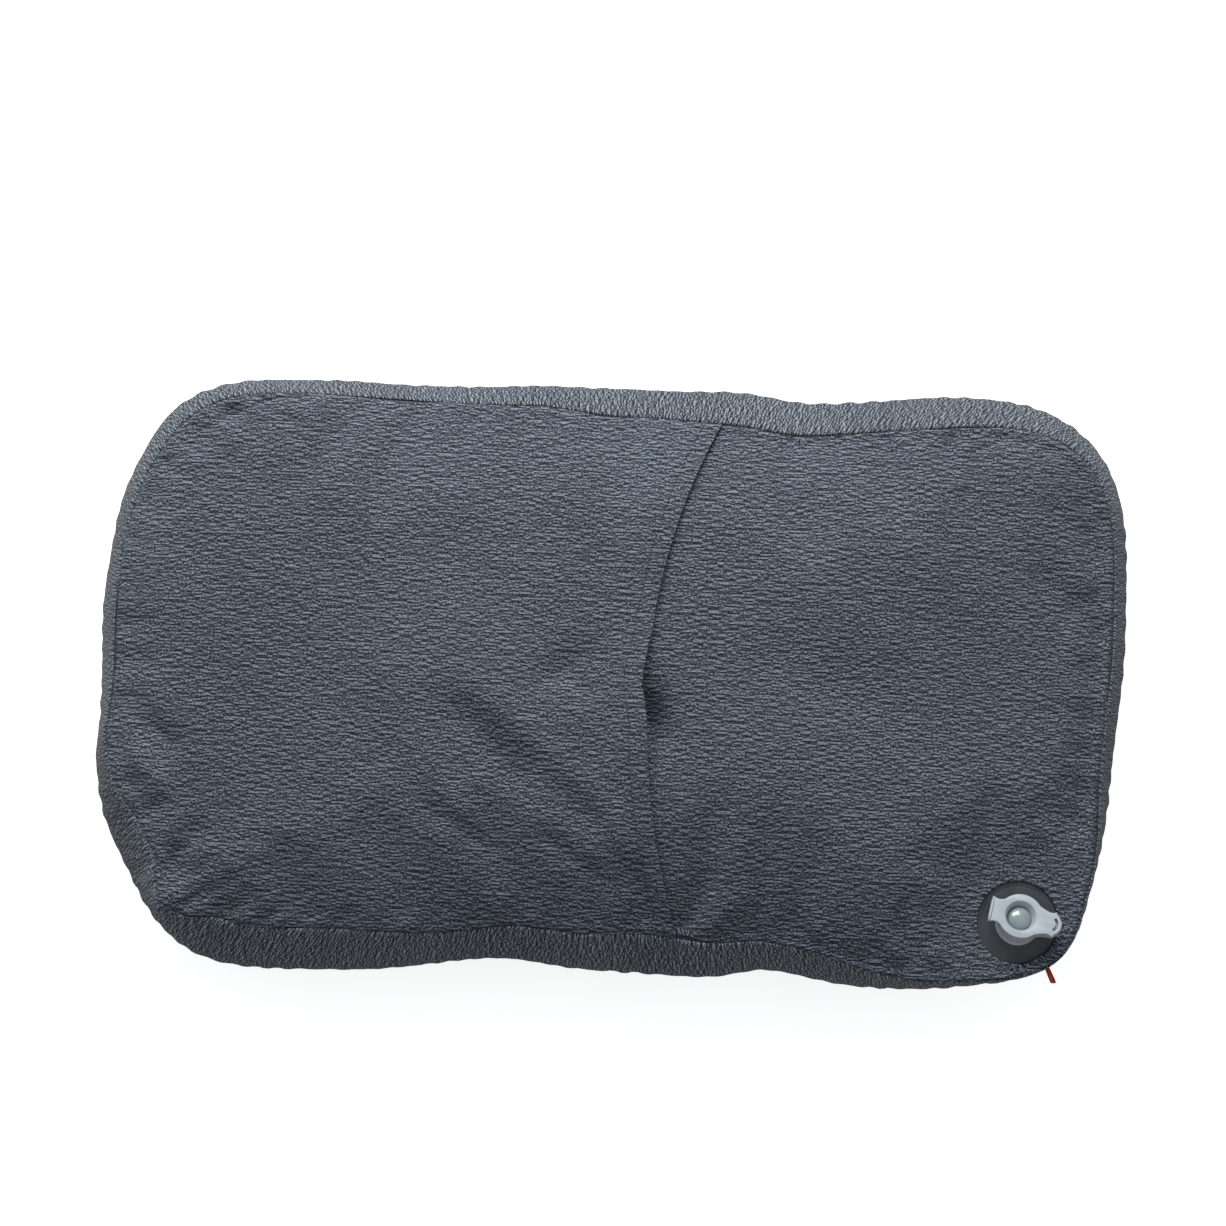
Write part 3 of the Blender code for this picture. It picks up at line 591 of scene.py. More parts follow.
# Each course of yarn carries its own dashes of dark and pale, and sways a little
def yarnRows(tree, axes, drift, rowsPerMetre, dashesPerMetre, sway):
    row = mathNode(tree, "MULTIPLY", axes.outputs["Y"], rowsPerMetre)
    row = mathNode(tree, "MULTIPLY_ADD", drift, sway, row)
    course = mathNode(tree, "FLOOR", row)
    pair = mathNode(tree, "FLOOR", mathNode(tree, "MULTIPLY", course, 0.5))
    sign = mathNode(tree, "MULTIPLY_ADD",
                    mathNode(tree, "SUBTRACT", course, mathNode(tree, "MULTIPLY", pair, 2)), 2, -1)
    along = mathNode(tree, "MULTIPLY", axes.outputs["X"], dashesPerMetre)
    along = mathNode(tree, "MULTIPLY_ADD", pair, 3.71, along)
    spot = tree.nodes.new("ShaderNodeCombineXYZ")
    tree.links.new(along, spot.inputs["X"])
    tree.links.new(mathNode(tree, "MULTIPLY", pair, 5.37), spot.inputs["Y"])
    dash = mathNode(tree, "SUBTRACT", noise2d(tree, spot.outputs[0], 2.0, 0.6), 0.5)
    return mathNode(tree, "MULTIPLY_ADD", dash, sign, 0.5)


# Two-tone melange knit: long wavy dashes of dark and pale yarn over fine ribs
def makeHeatherGroup():
    group, entry, leave = newGroup(
        "heatherKnit",
        (
            ("Vector", "NodeSocketVector", None),
            ("Dark", "NodeSocketColor", (0.01, 0.014, 0.02, 1)),
            ("Middle", "NodeSocketColor", (0.07, 0.085, 0.11, 1)),
            ("Pale", "NodeSocketColor", (0.25, 0.28, 0.32, 1)),
            ("Patchiness", "NodeSocketFloat", 0.12),
        ),
        (("Color", "NodeSocketColor"), ("Height", "NodeSocketFloat"), ("Roughness", "NodeSocketFloat")),
    )
    links = group.links
    flat = entry.outputs["Vector"]
    axes = group.nodes.new("ShaderNodeSeparateXYZ")
    links.new(flat, axes.inputs[0])
    drift = noise2d(group, stretched(group, flat, 75, 150), 1.0)
    coarse = yarnRows(group, axes, drift, 1120, 150, 0.8)
    fine = yarnRows(group, axes, drift, 1480, 290, 1.3)
    fuzz = noise2d(group, stretched(group, flat, 900, 1300, 1.9), 1.0, 0.5)
    patch = noise2d(group, stretched(group, flat, 9, 14, 2.2), 2.0, 0.5)
    mix = mathNode(group, "MULTIPLY", contrast(group, coarse, 0.38, 0.62), 0.42)
    mix = mathNode(group, "MULTIPLY_ADD", contrast(group, fine, 0.36, 0.64), 0.28, mix)
    mix = mathNode(group, "MULTIPLY_ADD", contrast(group, fuzz, 0.36, 0.64), 0.30, mix)
    centred = mathNode(group, "SUBTRACT", patch, 0.5)
    mix = mathNode(group, "MULTIPLY_ADD", centred, entry.outputs["Patchiness"], mix)
    lower = group.nodes.new("ShaderNodeMix")
    lower.data_type = "RGBA"
    links.new(contrast(group, mix, 0.22, 0.55), lower.inputs["Factor"])
    links.new(entry.outputs["Dark"], lower.inputs["A"])
    links.new(entry.outputs["Middle"], lower.inputs["B"])
    upper = group.nodes.new("ShaderNodeMix")
    upper.data_type = "RGBA"
    links.new(contrast(group, mix, 0.50, 0.86), upper.inputs["Factor"])
    links.new(lower.outputs["Result"], upper.inputs["A"])
    links.new(entry.outputs["Pale"], upper.inputs["B"])
    links.new(upper.outputs["Result"], leave.inputs["Color"])
    links.new(mix, leave.inputs["Height"])
    rough = mathNode(group, "MULTIPLY_ADD", mix, -0.12, 0.95)
    links.new(rough, leave.inputs["Roughness"])
    return group


# Fine moulded or film grain with faint mottling
def makeGrainGroup():
    group, entry, leave = newGroup(
        "mouldGrain",
        (
            ("Vector", "NodeSocketVector", None),
            ("Base", "NodeSocketColor", (0.4, 0.45, 0.5, 1)),
            ("Tint", "NodeSocketColor", (0.3, 0.35, 0.4, 1)),
            ("Grain", "NodeSocketFloat", 900.0),
            ("Mottle", "NodeSocketFloat", 90.0),
            ("Rough", "NodeSocketFloat", 0.4),
        ),
        (("Color", "NodeSocketColor"), ("Height", "NodeSocketFloat"), ("Roughness", "NodeSocketFloat")),
    )
    links = group.links
    grain = addNode(group, "ShaderNodeTexNoise", Detail=3.0)
    links.new(entry.outputs["Vector"], grain.inputs["Vector"])
    links.new(entry.outputs["Grain"], grain.inputs["Scale"])
    mottle = addNode(group, "ShaderNodeTexNoise", Detail=3.0)
    links.new(entry.outputs["Vector"], mottle.inputs["Vector"])
    links.new(entry.outputs["Mottle"], mottle.inputs["Scale"])
    mix = group.nodes.new("ShaderNodeMix")
    mix.data_type = "RGBA"
    links.new(contrast(group, mottle.outputs["Fac"], 0.3, 0.7), mix.inputs["Factor"])
    links.new(entry.outputs["Base"], mix.inputs["A"])
    links.new(entry.outputs["Tint"], mix.inputs["B"])
    links.new(mix.outputs["Result"], leave.inputs["Color"])
    links.new(grain.outputs["Fac"], leave.inputs["Height"])
    spread = mathNode(group, "MULTIPLY_ADD", mottle.outputs["Fac"], 0.16, -0.08)
    links.new(mathNode(group, "ADD", spread, entry.outputs["Rough"]), leave.inputs["Roughness"])
    return group


heatherGroup = makeHeatherGroup()
grainGroup = makeGrainGroup()


def startMaterial(name):
    material = bpy.data.materials.new(name)
    material.use_nodes = True
    tree = material.node_tree
    return material, tree, tree.nodes["Principled BSDF"]


def makeKnit(name, dark, middle, pale, patchiness=0.12, bump=0.5):
    material, tree, shader = startMaterial(name)
    uv = tree.nodes.new("ShaderNodeUVMap")
    uv.uv_map = "cloth"
    knit = tree.nodes.new("ShaderNodeGroup")
    knit.node_tree = heatherGroup
    knit.inputs["Dark"].default_value = (*dark, 1)
    knit.inputs["Middle"].default_value = (*middle, 1)
    knit.inputs["Pale"].default_value = (*pale, 1)
    knit.inputs["Patchiness"].default_value = patchiness
    tree.links.new(uv.outputs["UV"], knit.inputs["Vector"])
    tree.links.new(knit.outputs["Color"], shader.inputs["Base Color"])
    tree.links.new(knit.outputs["Roughness"], shader.inputs["Roughness"])
    raised = addNode(tree, "ShaderNodeBump", Strength=bump, Distance=0.0004)
    tree.links.new(knit.outputs["Height"], raised.inputs["Height"])
    tree.links.new(raised.outputs["Normal"], shader.inputs["Normal"])
    shader.inputs["Sheen Weight"].default_value = 0.12
    shader.inputs["Sheen Roughness"].default_value = 0.5
    shader.inputs["Specular IOR Level"].default_value = 0.25
    return material


def makeMoulded(name, base, tint, rough, grain, mottle, bump, coat=0.0, level=0.5):
    material, tree, shader = startMaterial(name)
    place = tree.nodes.new("ShaderNodeTexCoord")
    skin = tree.nodes.new("ShaderNodeGroup")
    skin.node_tree = grainGroup
    skin.inputs["Base"].default_value = (*base, 1)
    skin.inputs["Tint"].default_value = (*tint, 1)
    skin.inputs["Grain"].default_value = grain
    skin.inputs["Mottle"].default_value = mottle
    skin.inputs["Rough"].default_value = rough
    tree.links.new(place.outputs["Object"], skin.inputs["Vector"])
    tree.links.new(skin.outputs["Color"], shader.inputs["Base Color"])
    tree.links.new(skin.outputs["Roughness"], shader.inputs["Roughness"])
    raised = addNode(tree, "ShaderNodeBump", Strength=bump, Distance=0.0001)
    tree.links.new(skin.outputs["Height"], raised.inputs["Height"])
    tree.links.new(raised.outputs["Normal"], shader.inputs["Normal"])
    shader.inputs["Coat Weight"].default_value = coat
    shader.inputs["Specular IOR Level"].default_value = level
    return material


# Panels and gusset share one knit in two copies: the gusset's copy is painted lighter than the panels',
# painted light for the brighter-lit side band
panelColours = {
    "dark": (0.008, 0.012, 0.019),
    "middle": (0.052, 0.066, 0.088),
    "pale": (0.215, 0.249, 0.290),
}
gussetLitColours = {
    "dark": (0.006, 0.009, 0.014),
    "middle": (0.062, 0.078, 0.102),
    "pale": (0.300, 0.335, 0.375),
}
knit = makeKnit("heatherKnitCloth", **panelColours)
gussetLitKnit = makeKnit("gussetLitKnitCloth", **gussetLitColours)
threadInk = makeMoulded("threadInk", (0.020, 0.024, 0.031), (0.045, 0.052, 0.063), 0.8, 2500, 300, 0.3)
filmSkin = makeMoulded("filmSkin", (0.030, 0.034, 0.040), (0.042, 0.048, 0.055), 0.5, 700, 60, 0.35)
flangeSkin = makeMoulded("flangeSkin", (0.040, 0.048, 0.056), (0.058, 0.066, 0.074), 0.55, 1400, 110, 0.5)
valvePlastic = makeMoulded("valvePlastic", (0.405, 0.452, 0.497), (0.37, 0.415, 0.46), 0.36, 1500, 120, 0.12)
# The dome is the cap's own plastic painted a darker green-grey, as painted shade of the well it sits in; its
# coat gives it real gloss
domeShadedPlastic = makeMoulded(
    "domeShadedPlastic", (0.27, 0.33, 0.34), (0.23, 0.29, 0.30), 0.16, 1200, 160, 0.05, coat=0.6
)
siliconeSkin = makeMoulded("siliconeSkin", (0.62, 0.65, 0.66), (0.56, 0.60, 0.62), 0.45, 900, 90, 0.15)
ribbonWeave = makeMoulded("ribbonWeave", (0.70, 0.095, 0.04), (0.40, 0.03, 0.02), 0.6, 2200, 260, 0.6)
print("materials made")


# Repeated neighbour averages, with the edge held
def blurred(field, steps):
    for _ in range(steps):
        padded = np.pad(field, 1, mode="edge")
        field = (
            padded[:-2, 1:-1] + padded[2:, 1:-1] + padded[1:-1, :-2] + padded[1:-1, 2:] + 4 * field
        ) / 8
    return field


# Blow up a slack cloth body with pressure and keep the wrinkles of its top
def settleCover():
    columns, rows = settle["columns"], settle["rows"]
    u, v = np.meshgrid(np.linspace(-1, 1, columns + 1), np.linspace(-1, 1, rows + 1))
    top = np.stack(topSurface(u, v, dipped=False), -1).reshape(-1, 3)
    x, y = planPoint(u, v, 0.0, np.full_like(u, cushion["baseInset"]))
    ring = np.maximum(np.abs(u), np.abs(v))
    turnUp = np.clip(ring - cushion["baseFlat"], 0, 1) / (1 - cushion["baseFlat"])
    base = np.stack((x, y, baseSeamZ * turnUp ** 2), -1).reshape(-1, 3)
    rim = gridRim(columns, rows)
    rings = settle["sideRings"]
    sides = []
    for k in range(1, rings + 1):
        fall = k / (rings + 1)
        bulge = planPoint(u.ravel()[rim], v.ravel()[rim], 0.0, np.zeros(len(rim)))
        swell = math.sin(math.pi * fall)
        edge = top[rim] * (1 - fall) + base[rim] * fall
        sideX = edge[:, 0] * (1 - swell) + bulge[0] * swell
        sideY = edge[:, 1] * (1 - swell) + bulge[1] * swell
        sides.append(np.stack((sideX, sideY, edge[:, 2]), -1))
    body = meshObject("settlingCover", np.concatenate([top] + sides + [base]),
                      shellFaces(columns, rows, rim, rings))
    away = (1 - ring).ravel()
    calm = nearValve(top[:, 0], top[:, 1])
    held = body.vertex_groups.new(name="held")
    for index in range(len(body.data.vertices)):
        if index >= len(top) or away[index] < 0.01 or calm[index] > 0.5:
            held.add([index], 1.0, "REPLACE")
    cloth = body.modifiers.new("cloth", "CLOTH")
    cloth.settings.quality = 5
    cloth.settings.mass = 0.3
    cloth.settings.tension_stiffness = 12
    cloth.settings.compression_stiffness = 6
    cloth.settings.shear_stiffness = 3
    cloth.settings.bending_stiffness = 0.3
    cloth.settings.shrink_min = -settle["slack"]
    cloth.settings.use_pressure = True
    cloth.settings.uniform_pressure_force = settle["pressure"]
    cloth.settings.vertex_group_mass = "held"
    cloth.settings.effector_weights.gravity = 0
    cloth.point_cache.frame_start = 1
    cloth.point_cache.frame_end = settle["frames"]
    scene = bpy.context.scene
    for number in range(1, settle["frames"] + 1):
        scene.frame_set(number)
    graph = bpy.context.evaluated_depsgraph_get()
    result = body.evaluated_get(graph).to_mesh()
    moved = np.zeros(len(result.vertices) * 3)
    result.vertices.foreach_get("co", moved)
    rise = moved.reshape(-1, 3)[: len(top), 2] - top[:, 2]
    rise = np.clip(rise, -settle["cap"], settle["cap"]).reshape(rows + 1, columns + 1)
    scene.frame_set(1)
    bpy.data.objects.remove(body)
    print("cloth rose", round(rise.max() / mm, 2), "to", round(rise.min() / mm, 2), "mm")
    wrinkles = rise - blurred(rise, settle["broad"] ** 2)
    fade = np.clip((1 - ring) / 0.05, 0, 1)
    return settle["keep"] * wrinkles * fade * (1 - nearValve(*planPoint(u, v)))


settledHeights = settleCover()
print("cover settled", round(settledHeights.std() / mm, 3), "mm")


# Cover panels
flapPanel = {
    "edge": 20 * mm,        # free edge at mid depth, right of the middle
    "riseBack": 34.5 * mm,
    "riseFront": 29 * mm,
    "notch": -3.8 * mm,     # the edge's kink at the gape
    "notchPlace": -0.03,
    "notchWidth": 0.10,
    "hem": 11 * mm,
    "lift": 3.4 * mm,       # the edge stands up where it gapes
    "liftPlace": -0.10,
    "liftWidth": 0.22,
    "rest": 0.9 * mm,       # how far the edge stands proud elsewhere
    "roll": 1.1 * mm,
    "columns": 96,
    "rows": 112,
    "grainTurn": 0.022,
}
valvePanel = {
    "underlap": 95 * mm,
    "gape": 12.0 * mm,      # how far it sinks beside the flap's lifted edge
    "gapePlace": -0.17,
    "gapeWidth": 0.11,
    "gapeReach": 7.5 * mm,
    "columns": 118,
    "rows": 112,
    "grainTurn": 0.012,
}


def flapEdgeX(v):
    rise = np.where(v > 0, flapPanel["riseBack"], flapPanel["riseFront"])
    notch = flapPanel["notch"] * np.exp(-((v - flapPanel["notchPlace"]) / flapPanel["notchWidth"]) ** 2)
    return flapPanel["edge"] + rise * v * v + notch


def hemLift(v):
    swell = np.exp(-((v - flapPanel["liftPlace"]) / flapPanel["liftWidth"]) ** 2)
    return flapPanel["rest"] + flapPanel["lift"] * swell


def flapSurface(u, v, drop=0.0, extraInset=0.0):
    x, y, z = topSurface(u, v, extraInset, drop)
    beside = (x - middle.x) - flapEdgeX(v)
    z = z + hemLift(v) * np.exp(-(beside / (16 * mm)) ** 2)
    return x, y, z


def valveSurface(u, v, drop=None, extraInset=0.0):
    drop = drops["valvePanel"] if drop is None else drop
    x, y, z = topSurface(u, v, extraInset)
    beside = (x - middle.x) - flapEdgeX(v)
    gape = valvePanel["gape"] * np.exp(-((v - valvePanel["gapePlace"]) / valvePanel["gapeWidth"]) ** 2)
    right = np.exp(-((beside - 3 * mm) / valvePanel["gapeReach"]) ** 2)
    left = smoothStep((beside + 60 * mm) / (60 * mm))
    z = z - gape * np.where(beside > 3 * mm, right, left)
    ring = np.maximum(np.abs(u), np.abs(v))
    return x, y, z - drop * (1 - 0.85 * smoothStep((ring - 0.965) / 0.035) * (beside > 0))


def stackRows(parts):
    return np.stack(parts, axis=-1).reshape(-1, 3)


def clothUvs(x, y, turn):
    return np.stack((x * math.cos(turn) - y * math.sin(turn), x * math.sin(turn) + y * math.cos(turn)), -1)


def buildFlapPanel():
    columns, rows = flapPanel["columns"], flapPanel["rows"]
    t = eased(np.linspace(0, 1, rows + 1))
    v = np.repeat((2 * t - 1)[:, None], columns + 1, axis=1)
    s = 1 - np.cos(np.pi / 2 * np.linspace(0, 1, columns + 1))
    right = flapEdgeX(v) / halfLength
    u = -1 + (right + 1) * s[None, :]
    x, y, z = flapSurface(u, v)
    roll = flapPanel["roll"]
    turns = np.linspace(math.pi / 2, -math.pi / 2, 6)[1:]
    edgeX = [x] + [x[:, -1:] + roll * 0.6 * math.cos(a) for a in turns]
    edgeZ = [z] + [z[:, -1:] - roll / 2 + roll / 2 * math.sin(a) for a in turns]
    x = np.concatenate(edgeX, axis=1)
    z = np.concatenate(edgeZ, axis=1)
    y = np.concatenate([y] + [y[:, -1:]] * len(turns), axis=1)
    uvs = clothUvs(x, y, flapPanel["grainTurn"]).reshape(-1, 2)
    item = meshObject("coverFlapPanel", stackRows((x, y, z)), gridFaces(columns + len(turns), rows), uvs)
    solidify(item, 0.5 * knitThick)
    return setMaterial(applyModifiers(item), knit)


# Snap an open cloth grid to a circle and remove what is inside it
def cutRoundHole(item, centre, radius, clear):
    bm = bmesh.new()
    bm.from_mesh(item.data)

    def away(vert):
        return math.hypot(vert.co.x - centre.x, vert.co.y - centre.y)
    near = [f for f in bm.faces if min(away(w) for w in f.verts) < clear]
    edges = list({e for f in near for e in f.edges})
    bmesh.ops.subdivide_edges(bm, edges=edges, cuts=2, use_grid_fill=True)
    step = 1.9 * mm
    for vert in bm.verts:
        far = away(vert)
        if abs(far - radius) < step * 0.55:
            share = radius / far
            vert.co.x = centre.x + (vert.co.x - centre.x) * share
            vert.co.y = centre.y + (vert.co.y - centre.y) * share
    near = [f for f in bm.faces if max(away(w) for w in f.verts) < clear]
    bmesh.ops.triangulate(bm, faces=near)
    inside = [f for f in bm.faces if math.hypot(
        f.calc_center_median().x - centre.x, f.calc_center_median().y - centre.y) < radius]
    bmesh.ops.delete(bm, geom=inside, context="FACES")
    rim = [e for e in bm.edges if e.is_boundary and max(away(w) for w in e.verts) < radius * 1.15]
    for out, down in ((-0.35, 0.35), (-0.1, 0.8)):
        grown = bmesh.ops.extrude_edge_only(bm, edges=rim)["geom"]
        rim = [g for g in grown if isinstance(g, bmesh.types.BMEdge)]
        for vert in (g for g in grown if isinstance(g, bmesh.types.BMVert)):
            share = (radius + out * mm) / away(vert)
            vert.co.x = centre.x + (vert.co.x - centre.x) * share
            vert.co.y = centre.y + (vert.co.y - centre.y) * share
            vert.co.z -= down * mm * (1.0 if out < -0.2 else 0.6)
    bmesh.ops.recalc_face_normals(bm, faces=bm.faces)
    bm.normal_update()
    if sum(f.normal.z for f in bm.faces) < 0:
        bmesh.ops.reverse_faces(bm, faces=bm.faces)
    bm.to_mesh(item.data)
    bm.free()


def buildValvePanel():
    columns, rows = valvePanel["columns"], valvePanel["rows"]
    t = eased(np.linspace(0, 1, rows + 1))
    v = np.repeat((2 * t - 1)[:, None], columns + 1, axis=1)
    left = (flapPanel["edge"] - valvePanel["underlap"]) / halfLength
    s = np.sin(np.pi / 2 * np.linspace(0, 1, columns + 1))
    u = left + (1 - left) * s[None, :] * np.ones_like(v)
    x, y, z = valveSurface(u, v)
    uvs = clothUvs(x, y, valvePanel["grainTurn"]).reshape(-1, 2) + 0.4
    item = meshObject("coverValvePanel", stackRows((x, y, z)), gridFaces(columns, rows), uvs)
    cutRoundHole(item, valveBase, valve["holeRadius"], valve["holeRadius"] + 9 * mm)
    item.data.shade_smooth()
    solidify(item, 0.5 * knitThick)
    return setMaterial(applyModifiers(item), knit)


gusset = {
    "columns": 560,
    "rows": 26,
    "steepness": 1.5,
    "footSteepness": 1.8,
    "fold": 0.32 * mm,
    "foldShort": 34 * mm,
    "foldLong": 120 * mm,
}


# Fall runs from 0 at the top seam through 1 at the widest line to 2 at the base seam
def bandPoint(share, fall, extraInset=0.0, fine=True):
    u, v = squareEdge(share)
    unitRing, unitX, unitY, power = unitPlan(u, v)
    angle = np.degrees(np.arctan2(unitY * halfWidth, unitX * halfLength))
    upper = np.clip(1 - fall, 0, 1) ** gusset["steepness"]
    lower = np.clip(fall - 1, 0, 1) ** gusset["footSteepness"]
    inset = seamInset(angle) * upper + cushion["baseInset"] * lower
    if fine:
        place = edgeLength(u, v)
        swell = np.sin(np.pi * np.clip(fall / 2, 0, 1))
        inset = inset - gusset["fold"] * swell * waves(place, gusset["foldShort"], gusset["foldLong"], 11, 21)
        inset = inset - 0.35 * mm * swell * waves(place + 6 * mm * fall, 9 * mm, 17 * mm, 11, 22)
    x, y = planPoint(u, v, extraInset, inset)
    z = topSeamZ + (baseSeamZ - topSeamZ) * fall / 2
    dip = seamLook["dip"]
    z = z - dip * (1 - smoothStep(fall / 0.07)) * 0.8 + 0.5 * dip * (1 - smoothStep((2 - fall) / 0.07))
    return x, y, z


def buildGusset():
    columns, rows = gusset["columns"], gusset["rows"]
    share = edgeWalk(columns)
    fall = 2 * eased(np.linspace(0, 1, rows + 1)) * 0.5 + np.linspace(0, 1, rows + 1)
    shares, falls = np.meshgrid(share, fall)
    x, y, z = bandPoint(shares, falls)
    points = stackRows((x, y, z))
    depth = np.cumsum(np.concatenate((np.zeros((1, columns)), np.sqrt(
        np.diff(x, axis=0) ** 2 + np.diff(y, axis=0) ** 2 + np.diff(z, axis=0) ** 2))), axis=0)
    along = np.concatenate(([0.0], np.cumsum(np.hypot(np.diff(x[rows // 2]), np.diff(y[rows // 2])))))
    uvs = np.stack((depth, np.repeat(along[None, :], rows + 1, axis=0)), -1).reshape(-1, 2) + 1.3
    faces = [tuple(reversed(f)) for f in gridFaces(columns, rows, closed=True)]
    item = meshObject("coverGusset", points, faces, uvs)
    solidify(item, 0.5 * knitThick)
    # The gusset takes the lighter copy of the knit, which is painted light
    return setMaterial(applyModifiers(item), gussetLitKnit)


def buildBasePanel():
    columns, rows = 110, 64
    u, v = np.meshgrid(2 * eased(np.linspace(0, 1, columns + 1)) - 1,
                       2 * eased(np.linspace(0, 1, rows + 1)) - 1)
    x, y = planPoint(u, v, 0.0, np.full_like(u, cushion["baseInset"]))
    ring = np.maximum(np.abs(u), np.abs(v))
    turnUp = np.clip(ring - cushion["baseFlat"], 0, 1) / (1 - cushion["baseFlat"])
    z = baseSeamZ * turnUp ** 2
    away = (1 - ring) * halfWidth
    place = edgeLength(u, v)
    crumple = 0.8 * mm * np.abs(waves(place, 12 * mm, 30 * mm, 9, 31)) * np.exp(-(away / (26 * mm)) ** 2)
    z = z + crumple * turnUp
    z = z + seamLook["dip"] * 0.6 * (1 - smoothStep(away / seamLook["dipReach"]))
    faces = [tuple(reversed(f)) for f in gridFaces(columns, rows)]
    item = meshObject("coverBasePanel", stackRows((x, y, z)), faces, clothUvs(x, y, 0.0).reshape(-1, 2) + 2.1)
    solidify(item, 0.5 * knitThick)
    return setMaterial(applyModifiers(item), knit)


coverFlapPanel = buildFlapPanel()
coverValvePanel = buildValvePanel()
coverGusset = buildGusset()
coverBasePanel = buildBasePanel()
print("cover panels made")


# Small sewn pieces
# A turned-under strip of cloth below a panel's free edge
def buildStrip(name, uLow, uHigh, surface, thick, columns=5, rows=96, reach=0.985, uvShift=0.7):
    v = np.repeat(np.linspace(-reach, reach, rows + 1)[:, None], columns + 1, axis=1)
    s = np.linspace(0, 1, columns + 1)[None, :]
    u = uLow(v) + (uHigh(v) - uLow(v)) * s
    x, y, z = surface(u, v)
    uvs = clothUvs(x, y, 0.0).reshape(-1, 2) + uvShift
    item = meshObject(name, stackRows((x, y, z)), gridFaces(columns, rows), uvs)
    solidify(item, thick)
    return setMaterial(applyModifiers(item), knit)


seamAllowance = {"inside": 2.4 * mm, "wide": 3.5 * mm, "thick": 1.3 * mm, "wobble": 0.35 * mm, "columns": 420}


# The trimmed, overlocked edges inside a seam
def buildAllowance(name, upper):
    share = edgeWalk(seamAllowance["columns"])
    shares, across = np.meshgrid(share, np.linspace(0, 1, 5))
    u, v = squareEdge(shares)
    wobble = seamAllowance["wobble"] * waves(edgeLength(u, v), 5 * mm, 11 * mm, 7, 41 + upper) * across
    inset = seamAllowance["inside"] + seamAllowance["wide"] * across + wobble
    if upper:
        x, y = planPoint(u, v, inset)
        z = topSeamZ - drops["allowance"] + 1.5 * mm + 0 * across
    else:
        x, y = planPoint(u, v, inset, np.full_like(u, cushion["baseInset"]))
        z = baseSeamZ + 2.2 * mm - 5 * mm * across
    length = edgeLength(u, v)
    uvs = np.stack((across * seamAllowance["wide"], length), -1).reshape(-1, 2) + 0.2
    faces = gridFaces(seamAllowance["columns"], 4, closed=True)
    if upper:
        z = z - seamAllowance["thick"] + 1.3 * mm
    item = meshObject(name, stackRows((x, y, z)), faces, uvs)
    solidify(item, seamAllowance["thick"], 1.0)
    return setMaterial(applyModifiers(item), knit)


# Turn (radius, height) points about Z; a closed profile makes a ring, an open one ends on the axis
def latheMesh(name, profile, segments=96, closed=True):
    count = len(profile)
    points = []
    for k in range(segments):
        a = 2 * math.pi * k / segments
        points += [(r * math.cos(a), r * math.sin(a), z) for r, z in profile]
    faces = []
    for k in range(segments):
        following = (k + 1) % segments
        for j in range(count if closed else count - 1):
            other = (j + 1) % count
            faces.append((k * count + j, following * count + j, following * count + other, k * count + other))
    mesh = bpy.data.meshes.new(name)
    mesh.from_pydata(points, [], faces)
    return mesh


# One object from several closed meshes; materials gives one for each mesh
def joined(name, meshes, place, materials, uvName=None, sharpAngle=35):
    bm = bmesh.new()
    slots = []
    for mesh, material in zip(meshes, materials):
        if material not in slots:
            slots.append(material)
        first = len(bm.faces)
        bm.from_mesh(mesh)
        bm.faces.ensure_lookup_table()
        for face in bm.faces[first:]:
            face.material_index = slots.index(material)
        bpy.data.meshes.remove(mesh)
    bmesh.ops.remove_doubles(bm, verts=bm.verts, dist=1e-7)
    bmesh.ops.dissolve_degenerate(bm, edges=bm.edges, dist=1e-7)
    bm.transform(place)
    bmesh.ops.recalc_face_normals(bm, faces=bm.faces)
    mesh = bpy.data.meshes.new(name)
    bm.to_mesh(mesh)
    bm.free()
    item = bpy.data.objects.new(name, mesh)
    bpy.context.scene.collection.objects.link(item)
    for material in slots:
        mesh.materials.append(material)
    mesh.shade_smooth()
    mesh.set_sharp_from_angle(angle=math.radians(sharpAngle))
    return item


def ovalRing(radius, height, halfWide, halfHigh, steps=12):
    turns = [2 * math.pi * k / steps for k in range(steps)]
    return [(radius + halfWide * math.cos(a), height + halfHigh * math.sin(a)) for a in turns]


def buildHoleBinding():
    ring = latheMesh("ring", ovalRing(valve["holeRadius"] + 0.75 * mm, -0.5 * mm, 0.62 * mm, 0.32 * mm))
    item = joined("valveHoleBinding", [ring], padFrame, [knit], sharpAngle=80)
    layer = item.data.uv_layers.new(name="cloth")
    for loop in item.data.loops:
        co = item.data.vertices[loop.vertex_index].co
        layer.data[loop.index].uv = (co.x, co.y)
    return item


redTab = {"length": 12.5 * mm, "leaf": 0.4 * mm, "bow": 0.25 * mm, "heading": math.radians(-66)}


# A ribbon folded into a loop and caught in the seam, standing on its edge
def buildRedTab():
    low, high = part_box("red_tab")
    start = Vector((low.x - 1.8 * mm, high.y + 8.9 * mm, -2.5 * mm))
    along = Vector((math.cos(redTab["heading"]), math.sin(redTab["heading"]), 0))
    across = Vector((-along.y, along.x, 0))
    path = []
    for k in range(25):
        t = k / 24 * 2 - 1
        reach = 1 - abs(t) ** 2.2
        side = redTab["bow"] * math.sin(math.pi * min(1, abs(t))) + 0.28 * mm
        sideways = across * math.copysign(side, t) * min(1, 6 * abs(t))
        path.append(start + along * redTab["length"] * reach + sideways)
    rows = 8
    points = []
    for j in range(rows + 1):
        share = j / rows
        z = low.z + (high.z - low.z) * share
        for point in path:
            lean = 0.45 * mm * (share - 0.5) * (point - start).length / redTab["length"]
            points.append(point + across * lean + Vector((0, 0, z)))
    item = meshObject("redTab", points, gridFaces(len(path) - 1, rows))
    solidify(item, redTab["leaf"], 0.0)
    return setMaterial(applyModifiers(item), ribbonWeave)


